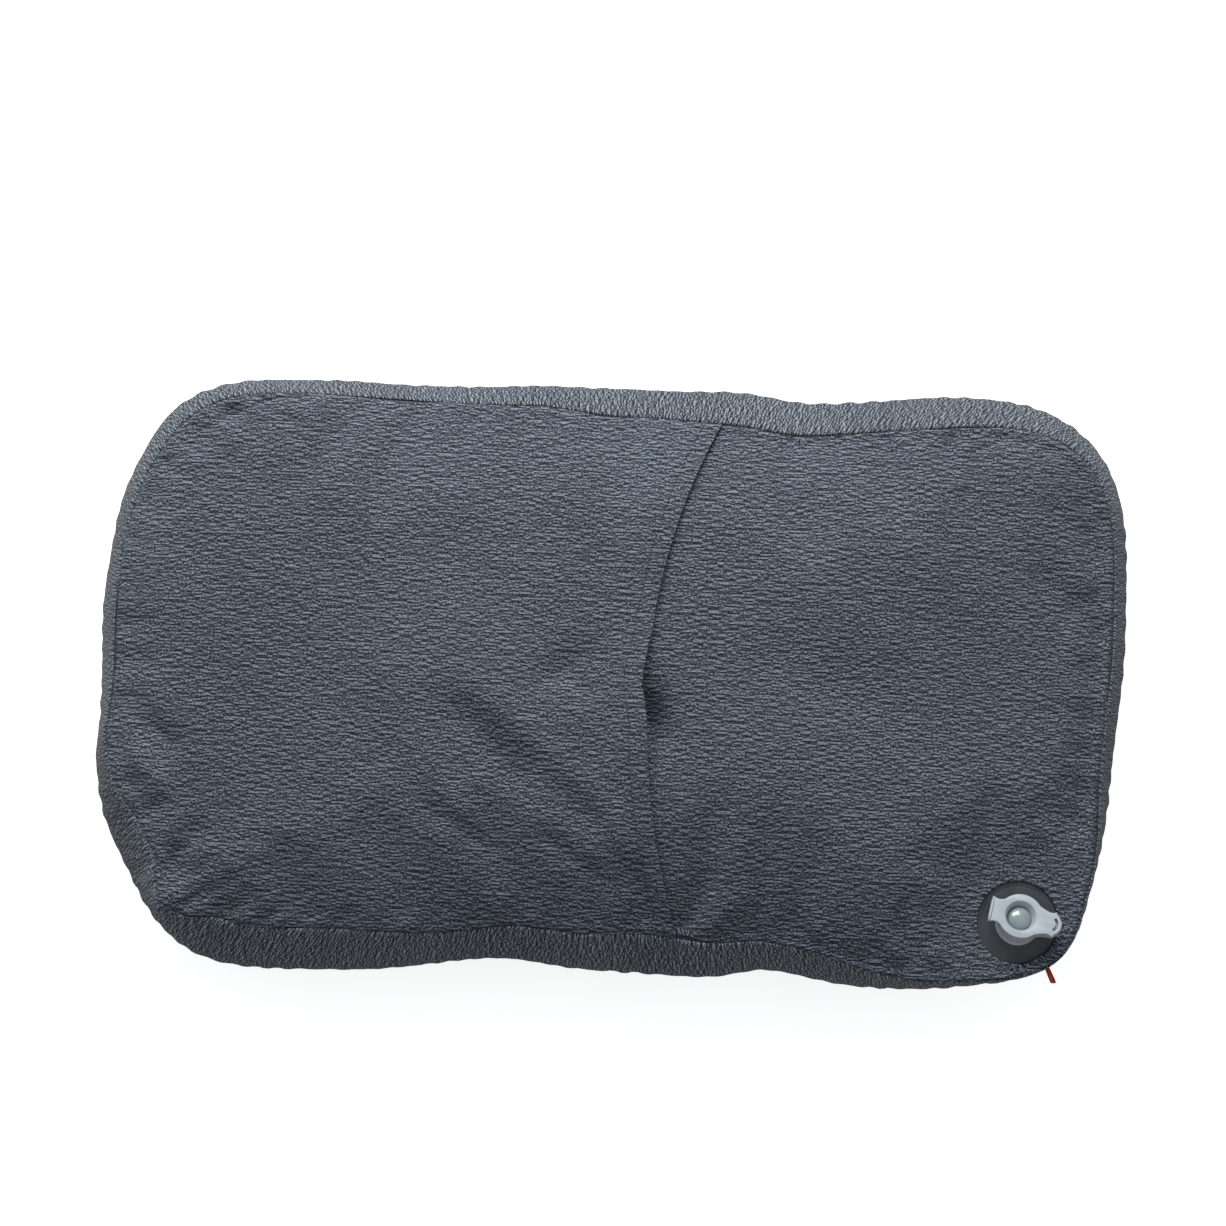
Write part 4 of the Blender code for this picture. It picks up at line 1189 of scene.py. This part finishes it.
flapHem = buildStrip(
    "flapHem",
    lambda v: (flapEdgeX(v) - flapPanel["hem"]) / halfLength,
    lambda v: flapEdgeX(v) / halfLength,
    lambda u, v: flapSurface(u, v, drops["flapHem"] - 0.5 * mm),
    0.5 * mm,
)
underlapLeft = (flapPanel["edge"] - valvePanel["underlap"]) / halfLength
underlapHem = buildStrip(
    "underlapHem",
    lambda v: np.full_like(v, underlapLeft),
    lambda v: np.full_like(v, underlapLeft + flapPanel["hem"] / halfLength),
    lambda u, v: valveSurface(u, v, drops["underlapHem"] - 0.5 * mm),
    0.5 * mm,
)
upperAllowance = buildAllowance("upperSeamAllowance", 1)
lowerAllowance = buildAllowance("lowerSeamAllowance", 0)
holeBinding = buildHoleBinding()
ribbonTab = buildRedTab()
print("sewn details made")


# Bladder
bladderShape = {
    "rimInset": 7.5 * mm,
    "sideInset": 6.5 * mm,
    "fin": 2.2 * mm,
    "columns": 92,
    "rows": 56,
    "sideRows": 8,
    "webs": (-0.15, 0.0, 0.15),
    "webHalf": 95 * mm,
    "webDip": 1.1 * mm,
}


def bladderTop(u, v):
    x, y, z = topSurface(u, v, bladderShape["rimInset"], drops["bladder"], dipped=False, fine=False)
    ring = np.maximum(np.abs(u), np.abs(v))
    calm = 1 - nearValve(x, y)
    for place in bladderShape["webs"]:
        line = np.exp(-((x - middle.x - place) / (7 * mm)) ** 2)
        line = line * (1 - smoothStep((np.abs(y) - bladderShape["webHalf"]) / (12 * mm)))
        z = z - calm * bladderShape["webDip"] * line
    z = z + calm * 0.25 * mm * ripple(x, y, 14 * mm, 40 * mm, 12, 51)
    beside = (x - middle.x) - flapEdgeX(v)
    sink = valvePanel["gape"] * np.exp(-((v - valvePanel["gapePlace"]) / 0.2) ** 2)
    sink = sink * np.exp(-(beside / 0.034) ** 2)
    return x, y, z - 1.6 * mm * ring ** 10 - sink


def bladderBase(u, v):
    x, y = planPoint(u, v, bladderShape["rimInset"], np.full_like(u, cushion["baseInset"]))
    ring = np.maximum(np.abs(u), np.abs(v))
    turnUp = np.clip(ring - cushion["baseFlat"], 0, 1) / (1 - cushion["baseFlat"])
    return x, y, baseSeamZ * turnUp ** 2 + 2.2 * mm + 1.6 * mm * ring ** 10


def buildBladder():
    columns, rows = bladderShape["columns"], bladderShape["rows"]
    u, v = np.meshgrid(2 * eased(np.linspace(0, 1, columns + 1)) - 1,
                       2 * eased(np.linspace(0, 1, rows + 1)) - 1)
    top = stackRows(bladderTop(u, v))
    base = stackRows(bladderBase(u, v))
    rim = gridRim(columns, rows)
    rimU, rimV = u.ravel()[rim], v.ravel()[rim]
    points = [top]
    midZ = (topSeamZ + baseSeamZ) / 2
    topRim, baseRim = top[rim], base[rim]
    turns = np.linspace(0, math.pi, 2 * bladderShape["sideRows"] + 1)[1:-1]
    for turn in turns:
        edge = topRim if turn < math.pi / 2 else baseRim
        weld = planPoint(rimU, rimV, bladderShape["sideInset"], np.zeros_like(rimU))
        share = math.sin(turn)
        x = edge[:, 0] + (weld[0] - edge[:, 0]) * share
        y = edge[:, 1] + (weld[1] - edge[:, 1]) * share
        z = midZ + (edge[:, 2] - midZ) * abs(math.cos(turn))
        if abs(turn - math.pi / 2) < 0.01:
            fin = planPoint(rimU, rimV, bladderShape["sideInset"] - bladderShape["fin"], np.zeros_like(rimU))
            points.append(np.stack((x, y, z + 0.5 * mm), -1))
            points.append(np.stack((fin[0], fin[1], z), -1))
            points.append(np.stack((x, y, z - 0.5 * mm), -1))
        else:
            points.append(np.stack((x, y, z), -1))
    faces = shellFaces(columns, rows, rim, len(points) - 1)
    item = meshObject("bladder", np.concatenate(points + [base]), faces)
    bm = bmesh.new()
    bm.from_mesh(item.data)
    hole = valve["neckRadius"] + 0.6 * mm
    inside = [f for f in bm.faces if f.calc_center_median().z > midZ and math.hypot(
        f.calc_center_median().x - valveBase.x, f.calc_center_median().y - valveBase.y) < hole + 2 * mm]
    bmesh.ops.delete(bm, geom=inside, context="FACES")
    for vert in bm.verts:
        if vert.is_boundary:
            away = math.hypot(vert.co.x - valveBase.x, vert.co.y - valveBase.y)
            vert.co.x = valveBase.x + (vert.co.x - valveBase.x) * hole / away
            vert.co.y = valveBase.y + (vert.co.y - valveBase.y) * hole / away
    bm.to_mesh(item.data)
    bm.free()
    item.data.shade_smooth()
    solidify(item, 0.6 * mm)
    return setMaterial(applyModifiers(item), filmSkin)


bladder = buildBladder()
print("bladder made")


# Valve
def arc(centreX, radius, start, end, steps):
    turns = [start + (end - start) * k / steps for k in range(steps + 1)]
    return [(centreX + radius * math.cos(a), radius * math.sin(a)) for a in turns]


def mirrored(half):
    return half + [(x, -y) for x, y in reversed(half) if abs(y) > 1e-6]


# Round an outline's corners by cutting them, twice over
def softened(points, times=2):
    for _ in range(times):
        cut = []
        for (x1, y1), (x2, y2) in zip(points, points[1:] + points[:1]):
            cut.append((0.75 * x1 + 0.25 * x2, 0.75 * y1 + 0.25 * y2))
            cut.append((0.25 * x1 + 0.75 * x2, 0.25 * y1 + 0.75 * y2))
        points = cut
    return points


tongue = {"half": 6.1 * mm, "endRadius": 6.6 * mm, "ear": 7.3 * mm, "slotRadius": 4.1 * mm,
          "slotWide": 1.4 * mm}
tongue["endX"] = valve["tongueReach"] - tongue["endRadius"]
pullTab = {
    "reach": 16.8 * mm,
    "endHalf": 7.25 * mm,
    "neckHalf": 6.1 * mm,
    "neckX": 13.2 * mm,
    "lipHigh": 0.9 * mm,
    "lipWide": 1.3 * mm,
}


def lidOutline():
    half = arc(0, valve["plateRadius"], math.pi, math.radians(42), 36)
    half += [(valve["plateRadius"] + 2.2 * mm, tongue["half"])]
    half += arc(tongue["endX"], tongue["endRadius"], math.radians(68), 0, 18)
    return softened(mirrored(half))


def capOutline():
    half = [(-pullTab["reach"], pullTab["endHalf"]),
            (-pullTab["reach"] + 1.2 * mm, pullTab["endHalf"] - 0.25 * mm)]
    half += [(-pullTab["neckX"], pullTab["neckHalf"])]
    half += arc(0, valve["plateRadius"], math.radians(144), math.radians(42), 30)
    half += [(valve["plateRadius"] + 2.2 * mm, tongue["half"])]
    half += [(tongue["endX"] + 1.6 * mm, tongue["half"] + 0.25 * mm),
             (tongue["endX"] + 2.6 * mm, tongue["ear"])]
    half += arc(tongue["endX"], tongue["endRadius"], math.radians(58), 0, 16)
    return softened(mirrored(half), 1)


def crescentSlot():
    halfAngle = math.radians(52)
    wide = tongue["slotWide"] / 2
    outer = arc(tongue["endX"], tongue["slotRadius"] + wide, halfAngle, -halfAngle, 16)
    inner = arc(tongue["endX"], tongue["slotRadius"] - wide, -halfAngle, halfAngle, 16)
    return softened(outer + inner, 2)


def circle(radius, steps=72):
    return arc(0, radius, 0, 2 * math.pi * (steps - 1) / steps, steps - 1)


# A flat plate with rounded edges between two heights, its first outline outermost
def plateMesh(outlines, low, high, edge):
    curve = bpy.data.curves.new("plate", "CURVE")
    curve.dimensions = "2D"
    curve.fill_mode = "BOTH"
    curve.extrude = (high - low) / 2 - edge
    curve.bevel_depth = edge
    curve.bevel_resolution = 2
    curve.offset = -edge
    for outline in outlines:
        spline = curve.splines.new("POLY")
        spline.points.add(len(outline) - 1)
        for point, (x, y) in zip(spline.points, outline):
            point.co = (x, y, 0, 1)
        spline.use_cyclic_u = True
    drawn = bpy.data.objects.new("plate", curve)
    bpy.context.scene.collection.objects.link(drawn)
    graph = bpy.context.evaluated_depsgraph_get()
    mesh = bpy.data.meshes.new_from_object(drawn.evaluated_get(graph))
    bpy.data.objects.remove(drawn)
    bpy.data.curves.remove(curve)
    mesh.transform(Matrix.Translation((0, 0, (low + high) / 2)))
    return mesh


plateEdge = 0.28 * mm


# The disc welded to the bladder, with two shallow weld rings
def buildFlange():
    inner, outer, thick = valve["neckRadius"] + 0.3 * mm, valve["flangeRadius"], valve["flangeThick"]
    profile = [(inner, -thick), (outer - 0.2 * mm, -thick), (outer, -thick * 0.7), (outer, -0.35 * mm)]
    steps = 60
    for k in range(steps + 1):
        radius = outer - 0.3 * mm + (inner + 0.3 * mm - outer) * k / steps
        weld = sum(math.exp(-((radius - ring) / (0.55 * mm)) ** 2) for ring in (14.2 * mm, 19.4 * mm))
        profile.append((radius, -0.14 * mm * weld))
    return joined("valveFlange", [latheMesh("flange", profile, 120)], padFrame, [flangeSkin], sharpAngle=60)


def tubeProfile(innerLow, innerHigh, outerLow, outerHigh, low, high, rounding):
    return [
        (innerLow, low + rounding), (innerLow + rounding, low), (outerLow - rounding, low),
        (outerLow, low + rounding),
        (outerHigh, high - rounding), (outerHigh - rounding, high), (innerHigh + rounding, high),
        (innerHigh, high - rounding),
    ]


def buildValveBody():
    plate = plateMesh([lidOutline(), circle(valve["neckBore"] + 0.5 * mm)], valve["neckHeight"], seatZ,
                      plateEdge)
    neck = tubeProfile(
        valve["neckBore"], valve["neckBore"], valve["neckRadius"], valve["neckRadius"] + 0.25 * mm,
        -valve["neckBelow"], seatZ - 0.1 * mm, 0.2 * mm,
    )
    ring = [
        (valve["neckRadius"] - 0.3 * mm, valve["ringLow"]),
        (valve["ringRadius"] - 0.1 * mm, valve["ringLow"]),
        (valve["ringRadius"], valve["ringLow"] + 0.3 * mm),
        (valve["ringRadius"] - 0.25 * mm, valve["ringHigh"]),
        (valve["ringRadius"] - 1.0 * mm, valve["ringHigh"] + 0.12 * mm),
        (valve["neckRadius"] - 0.3 * mm, valve["ringHigh"] + 0.5 * mm),
    ]
    foot = latheMesh("foot", ring)
    foot.transform(valveFrame.inverted() @ padFrame)
    plastic = [valvePlastic] * 3
    return joined("valveBody", [plate, latheMesh("neck", neck), foot], valveFrame, plastic)


def buildDumpLid():
    bore, port = valve["portBore"], valve["portRadius"]
    portEnd = lidZ - valve["portDepth"]
    plate = plateMesh([lidOutline(), circle(bore + 0.5 * mm)], lidZ, lidTopZ, plateEdge)
    tube = tubeProfile(bore, bore, port - 0.3 * mm, port, portEnd, lidTopZ - 0.05 * mm, 0.2 * mm)
    bridgeX = 5.4 * mm
    outline = [(bridgeX, -2.8 * mm), (bridgeX + 3 * mm, -2.8 * mm), (bridgeX + 3 * mm, 2.8 * mm),
               (bridgeX, 2.8 * mm)]
    studHole = [(x + bridgeX + 1.5 * mm, y) for x, y in circle(1.1 * mm, 24)]
    bridge = plateMesh([outline, studHole], portEnd, portEnd + 1.4 * mm, 0.12 * mm)
    plastic = [valvePlastic] * 3
    return joined("dumpLid", [plate, latheMesh("port", tube), bridge], valveFrame, plastic)


def buildInflateCap():
    well, top = valve["wellRadius"], capTopZ
    plate = plateMesh([capOutline(), circle(well + 0.55 * mm), crescentSlot()], capZ, top, plateEdge)
    floor = capZ - valve["wellFloor"]
    foot = valve["plugFoot"] - valve["wellWall"]
    cup = [
        (valve["domeRadius"], floor - 0.5 * mm), (valve["domeRadius"], capZ - valve["plugDepth"]),
        (valve["plugFoot"] - 0.3 * mm, capZ - valve["plugDepth"]), (valve["plugFoot"], capZ - 4.4 * mm),
        (valve["plugRadius"], capZ), (well + 0.9 * mm, capZ + 0.3 * mm), (well + 0.9 * mm, top - 0.2 * mm),
        (well + 0.75 * mm, top + 0.02 * mm), (well + 0.35 * mm, top + 0.02 * mm),
        (well + 0.08 * mm, top - 0.15 * mm),
        (well - 0.05 * mm, top - 0.5 * mm), (valve["plugRadius"] - valve["wellWall"] + 0.2 * mm, capZ),
        (foot + 0.25 * mm, floor + 0.3 * mm), (foot, floor), (foot - 0.1 * mm, floor - 0.2 * mm),
    ]
    steps = 14
    dome = [(0, capZ - valve["plugDepth"]), (valve["domeRadius"] + 0.02 * mm, capZ - valve["plugDepth"])]
    for k in range(steps + 1):
        a = math.pi / 2 * k / steps
        dome.append(((valve["domeRadius"] + 0.02 * mm) * math.cos(a),
                     floor + valve["domeRise"] * math.sin(a)))
    lip = plateMesh(
        [softened([
            (-pullTab["reach"], -pullTab["endHalf"] + 0.3 * mm),
            (-pullTab["reach"] + pullTab["lipWide"], -pullTab["endHalf"] + 0.5 * mm),
            (-pullTab["reach"] + pullTab["lipWide"], pullTab["endHalf"] - 0.5 * mm),
            (-pullTab["reach"], pullTab["endHalf"] - 0.3 * mm),
        ], 1)],
        top - 0.7 * mm, top + pullTab["lipHigh"], 0.3 * mm,
    )
    # The dome takes the darker copy of the valve plastic, which is painted shade
    meshes = [plate, latheMesh("cup", cup), lip, latheMesh("dome", dome, closed=False)]
    return joined("inflateCap", meshes, valveFrame, [valvePlastic] * 3 + [domeShadedPlastic])


checkFlapShape = {"radius": 8.6 * mm, "thick": 0.6 * mm, "hingeX": 5.0 * mm, "rootEnd": 8.3 * mm,
                  "rootHalf": 2.8 * mm}


# A silicone disc clamped by its root, built flat; the real one bends down at the root's edge
def buildCheckFlap():
    radius, hinge = checkFlapShape["radius"], checkFlapShape["hingeX"]
    opening = math.acos(hinge / radius)
    outline = arc(0, radius, opening, 2 * math.pi - opening, 60)
    root = checkFlapShape["rootHalf"]
    outline += [(hinge, -root), (checkFlapShape["rootEnd"], -root), (checkFlapShape["rootEnd"], root),
                (hinge, root)]
    top = lidZ - valve["portDepth"] - 0.3 * mm
    hole = [(x + 6.9 * mm, y) for x, y in circle(1.1 * mm, 24)]
    mesh = plateMesh([outline, hole], top - checkFlapShape["thick"], top, 0.1 * mm)
    return joined("checkFlap", [mesh], valveFrame, [siliconeSkin])


hingeWeb = {"half": 2.4 * mm, "thick": 0.35 * mm, "bow": 0.8 * mm, "rise": 1.15 * mm, "start": 21.5 * mm}


# A living hinge: a thin strap that turns round the joint from one tongue to the next
def buildHingeWeb(name, hingeZ):
    turns = np.linspace(-math.pi / 2, math.pi / 2, 15)
    columns = len(turns) - 1
    rows = 10
    points = []
    for j in range(rows + 1):
        y = hingeWeb["half"] * (2 * j / rows - 1)
        for a in turns:
            points.append((hingeWeb["start"] + hingeWeb["bow"] * math.cos(a), y,
                           hingeZ + hingeWeb["rise"] * math.sin(a)))
    item = meshObject(name, points, gridFaces(columns, rows))
    item.data.transform(valveFrame)
    solidify(item, hingeWeb["thick"], 0.0)
    return setMaterial(applyModifiers(item), valvePlastic)


valveFlange = buildFlange()
valveBody = buildValveBody()
dumpLid = buildDumpLid()
inflateCap = buildInflateCap()
checkFlap = buildCheckFlap()
lidHingeWeb = buildHingeWeb("lidHingeWeb", seatZ + valve["gap"] / 2)
capHingeWeb = buildHingeWeb("capHingeWeb", lidTopZ + valve["gap"] / 2)
print("valve made")


# Stitches, laid along a path by Geometry Nodes
stitching = {"length": 2.5 * mm, "pitch": 3.3 * mm, "thread": 0.22 * mm, "bow": 0.25 * mm, "seed": 3}


def makeStitchTree():
    tree = bpy.data.node_groups.new("stitchRow", "GeometryNodeTree")
    face = tree.interface
    face.new_socket(name="Geometry", in_out="INPUT", socket_type="NodeSocketGeometry")
    for label in ("Stitch Length", "Pitch", "Thread Radius", "Bow"):
        face.new_socket(name=label, in_out="INPUT", socket_type="NodeSocketFloat")
    face.new_socket(name="Seed", in_out="INPUT", socket_type="NodeSocketInt")
    face.new_socket(name="Material", in_out="INPUT", socket_type="NodeSocketMaterial")
    face.new_socket(name="Geometry", in_out="OUTPUT", socket_type="NodeSocketGeometry")
    nodes, links = tree.nodes, tree.links
    entry, leave = nodes.new("NodeGroupInput"), nodes.new("NodeGroupOutput")
    path = nodes.new("GeometryNodeMeshToCurve")
    links.new(entry.outputs["Geometry"], path.inputs["Mesh"])
    spaced = nodes.new("GeometryNodeCurveToPoints")
    spaced.mode = "LENGTH"
    links.new(path.outputs["Curve"], spaced.inputs["Curve"])
    links.new(entry.outputs["Pitch"], spaced.inputs["Length"])

    half = nodes.new("ShaderNodeMath")
    half.operation = "MULTIPLY"
    half.inputs[1].default_value = 0.5
    links.new(entry.outputs["Stitch Length"], half.inputs[0])
    back = nodes.new("ShaderNodeMath")
    back.operation = "MULTIPLY"
    back.inputs[1].default_value = -0.5
    links.new(entry.outputs["Stitch Length"], back.inputs[0])
    start, peak, end = (nodes.new("ShaderNodeCombineXYZ") for _ in range(3))
    links.new(back.outputs[0], start.inputs["X"])
    links.new(half.outputs[0], end.inputs["X"])
    links.new(entry.outputs["Bow"], peak.inputs["Z"])
    thread = nodes.new("GeometryNodeCurveQuadraticBezier")
    thread.inputs["Resolution"].default_value = 4
    links.new(start.outputs[0], thread.inputs["Start"])
    links.new(peak.outputs[0], thread.inputs["Middle"])
    links.new(end.outputs[0], thread.inputs["End"])
    ring = nodes.new("GeometryNodeCurvePrimitiveCircle")
    ring.inputs["Resolution"].default_value = 6
    links.new(entry.outputs["Thread Radius"], ring.inputs["Radius"])
    solid = nodes.new("GeometryNodeCurveToMesh")
    solid.inputs["Fill Caps"].default_value = True
    links.new(thread.outputs["Curve"], solid.inputs["Curve"])
    links.new(ring.outputs["Curve"], solid.inputs["Profile Curve"])

    aim = nodes.new("FunctionNodeAlignRotationToVector")
    aim.axis = "X"
    aim.pivot_axis = "Z"
    links.new(spaced.outputs["Tangent"], aim.inputs["Vector"])
    jitter = nodes.new("FunctionNodeRandomValue")
    jitter.data_type = "FLOAT"
    jitter.inputs[2].default_value = 0.92
    jitter.inputs[3].default_value = 1.06
    links.new(entry.outputs["Seed"], jitter.inputs["Seed"])
    place = nodes.new("GeometryNodeInstanceOnPoints")
    links.new(spaced.outputs["Points"], place.inputs["Points"])
    links.new(solid.outputs["Mesh"], place.inputs["Instance"])
    links.new(aim.outputs["Rotation"], place.inputs["Rotation"])
    links.new(jitter.outputs[1], place.inputs["Scale"])
    real = nodes.new("GeometryNodeRealizeInstances")
    links.new(place.outputs["Instances"], real.inputs["Geometry"])
    paint = nodes.new("GeometryNodeSetMaterial")
    links.new(real.outputs["Geometry"], paint.inputs["Geometry"])
    links.new(entry.outputs["Material"], paint.inputs["Material"])
    links.new(paint.outputs["Geometry"], leave.inputs["Geometry"])
    return tree


stitchTree = makeStitchTree()


def stitchRow(name, points):
    edges = [(k, k + 1) for k in range(len(points) - 1)]
    mesh = bpy.data.meshes.new(name)
    mesh.from_pydata([tuple(p) for p in points], edges, [])
    item = bpy.data.objects.new(name, mesh)
    bpy.context.scene.collection.objects.link(item)
    row = item.modifiers.new("row", "NODES")
    row.node_group = stitchTree
    values = {
        "Stitch Length": stitching["length"],
        "Pitch": stitching["pitch"],
        "Thread Radius": stitching["thread"],
        "Bow": stitching["bow"],
        "Seed": stitching["seed"],
        "Material": threadInk,
    }
    for socket in stitchTree.interface.items_tree:
        if socket.in_out == "INPUT" and socket.name in values:
            row[socket.identifier] = values[socket.name]
    applyModifiers(item)
    item.data.shade_smooth()
    return item


def hemPath():
    v = np.linspace(-0.97, 0.97, 160)
    u = (flapEdgeX(v) - flapPanel["hem"] + 1.2 * mm) / halfLength
    return stackRows(flapSurface(u, v, -0.02 * mm))


# Round the top seam, from one side of the valve to the other
def seamPath():
    u, v = squareEdge(edgeWalk(640))
    x, y = planPoint(u, v, 0.9 * mm)
    path = np.stack((x, y, np.full_like(x, topSeamZ - seamLook["dip"] * 0.8)), -1)
    clear = nearValve(x, y) < 0.02
    start = int(np.argmax(clear & ~np.roll(clear, 1)))
    return np.roll(path, -start, axis=0)[: int(clear.sum())]


hemStitches = stitchRow("hemStitches", hemPath())
seamStitches = stitchRow("seamStitches", seamPath())
print("stitches made")


def rideAndDeclare():
    rootPieces = (
        (coverFlapPanel, "cover_flap_panel", "knit"),
        (coverValvePanel, "cover_valve_panel", "knit"),
        (coverGusset, "cover_gusset", "gusset_knit"),
        (coverBasePanel, "cover_base_panel", "knit"),
        (flapHem, "flap_hem", "knit"),
        (underlapHem, "underlap_hem", "knit"),
        (upperAllowance, "upper_seam_allowance", "gusset_knit"),
        (lowerAllowance, "lower_seam_allowance", "gusset_knit"),
        (holeBinding, "valve_hole_binding", "knit"),
        (ribbonTab, "red_tab", "red_ribbon"),
        (bladder, "bladder_top_sheet", "bladder_film"),
        (valveFlange, "valve_flange", "flange_film"),
        (valveBody, "valve_body", "valve_plastic"),
        (hemStitches, None, "knit"),
        (seamStitches, None, "knit"),
    )
    for piece, node, slot in rootPieces:
        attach(piece, "root")
        if node:
            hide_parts(node)
    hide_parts("bladder_bottom_sheet")
    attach(dumpLid, "dump_lid")
    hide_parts("dump_lid")
    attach(inflateCap, "inflate_cap")
    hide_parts("inflate_cap")

    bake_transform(checkFlap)
    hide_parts("check_flap", "check_flap_root")
    for web, joint, below, above in (
        (lidHingeWeb, lidHinge, "root", "dump_lid"),
        (capHingeWeb, capHinge, "dump_lid", "inflate_cap"),
    ):
        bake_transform(web)
    for node in frame["nodes"].values():
        if node.name.startswith("tie_web"):
            setMaterial(node, filmSkin)
        elif node.name == "check_flap_stud":
            setMaterial(node, valvePlastic)


# Studio
studio = {
    "aimHeight": 52 * mm,
    "aimAbove": 38 * mm,
    "distance": 1.40,
    "elevation": math.radians(83),
    "turn": math.radians(1.8),
    "fieldOfView": math.radians(27.6),
    "keyPlace": (-0.25, 1.35, 1.05),
    "keySize": (1.3, 0.8),
    "keyPower": 34.0,
    "skyStrength": 0.42,
    "floorColour": (0.86, 0.87, 0.88),
    "floorGlow": 0.72,
    "bounceColour": (0.30, 0.31, 0.32),
}


def buildStudio():
    up = Vector((-math.sin(studio["turn"]), math.cos(studio["turn"]), 0))
    aim = Vector((middle.x, middle.y, studio["aimHeight"])) + up * studio["aimAbove"]
    towards = Vector((0, 0, math.sin(studio["elevation"]))) - up * math.cos(studio["elevation"])
    data = bpy.data.cameras.new("camera")
    data.angle = studio["fieldOfView"]
    camera = bpy.data.objects.new("camera", data)
    bpy.context.scene.collection.objects.link(camera)
    side = (-towards).cross(up).normalized()
    camera.matrix_world = frameFrom(aim + towards * studio["distance"], side, towards.cross(side), towards)
    bpy.context.scene.camera = camera

    light = bpy.data.lights.new("keyLight", "AREA")
    light.shape = "RECTANGLE"
    light.size, light.size_y = studio["keySize"]
    light.energy = studio["keyPower"]
    lamp = bpy.data.objects.new("keyLight", light)
    bpy.context.scene.collection.objects.link(lamp)
    place = Vector(studio["keyPlace"])
    lamp.location = place
    lamp.rotation_euler = (middle - place).to_track_quat("-Z", "Y").to_euler()
    lamp.visible_camera = False

    world = bpy.data.worlds.new("studioSky")
    world.use_nodes = True
    sky = world.node_tree.nodes["Background"]
    sky.inputs["Color"].default_value = (0.98, 0.99, 1.0, 1)
    sky.inputs["Strength"].default_value = studio["skyStrength"]
    bpy.context.scene.world = world

    floor = meshObject(
        "floor", [(-4, -4, 0), (4, -4, 0), (4, 4, 0), (-4, 4, 0)], [(0, 1, 2, 3)], smooth=False
    )
    material, tree, shader = startMaterial("paleFloor")
    shader.inputs["Base Color"].default_value = (*studio["floorColour"], 1)
    shader.inputs["Roughness"].default_value = 0.9
    shader.inputs["Emission Color"].default_value = (1, 1, 1, 1)
    shader.inputs["Emission Strength"].default_value = studio["floorGlow"]
    bounce = addNode(tree, "ShaderNodeBsdfDiffuse", Color=(*studio["bounceColour"], 1))
    path = tree.nodes.new("ShaderNodeLightPath")
    choose = tree.nodes.new("ShaderNodeMixShader")
    tree.links.new(path.outputs["Is Camera Ray"], choose.inputs["Fac"])
    tree.links.new(bounce.outputs["BSDF"], choose.inputs[1])
    tree.links.new(shader.outputs["BSDF"], choose.inputs[2])
    tree.links.new(choose.outputs["Shader"], tree.nodes["Material Output"].inputs["Surface"])
    setMaterial(floor, material)
    bpy.context.scene.view_settings.view_transform = "Standard"


buildStudio()
print("studio made")

rideAndDeclare()
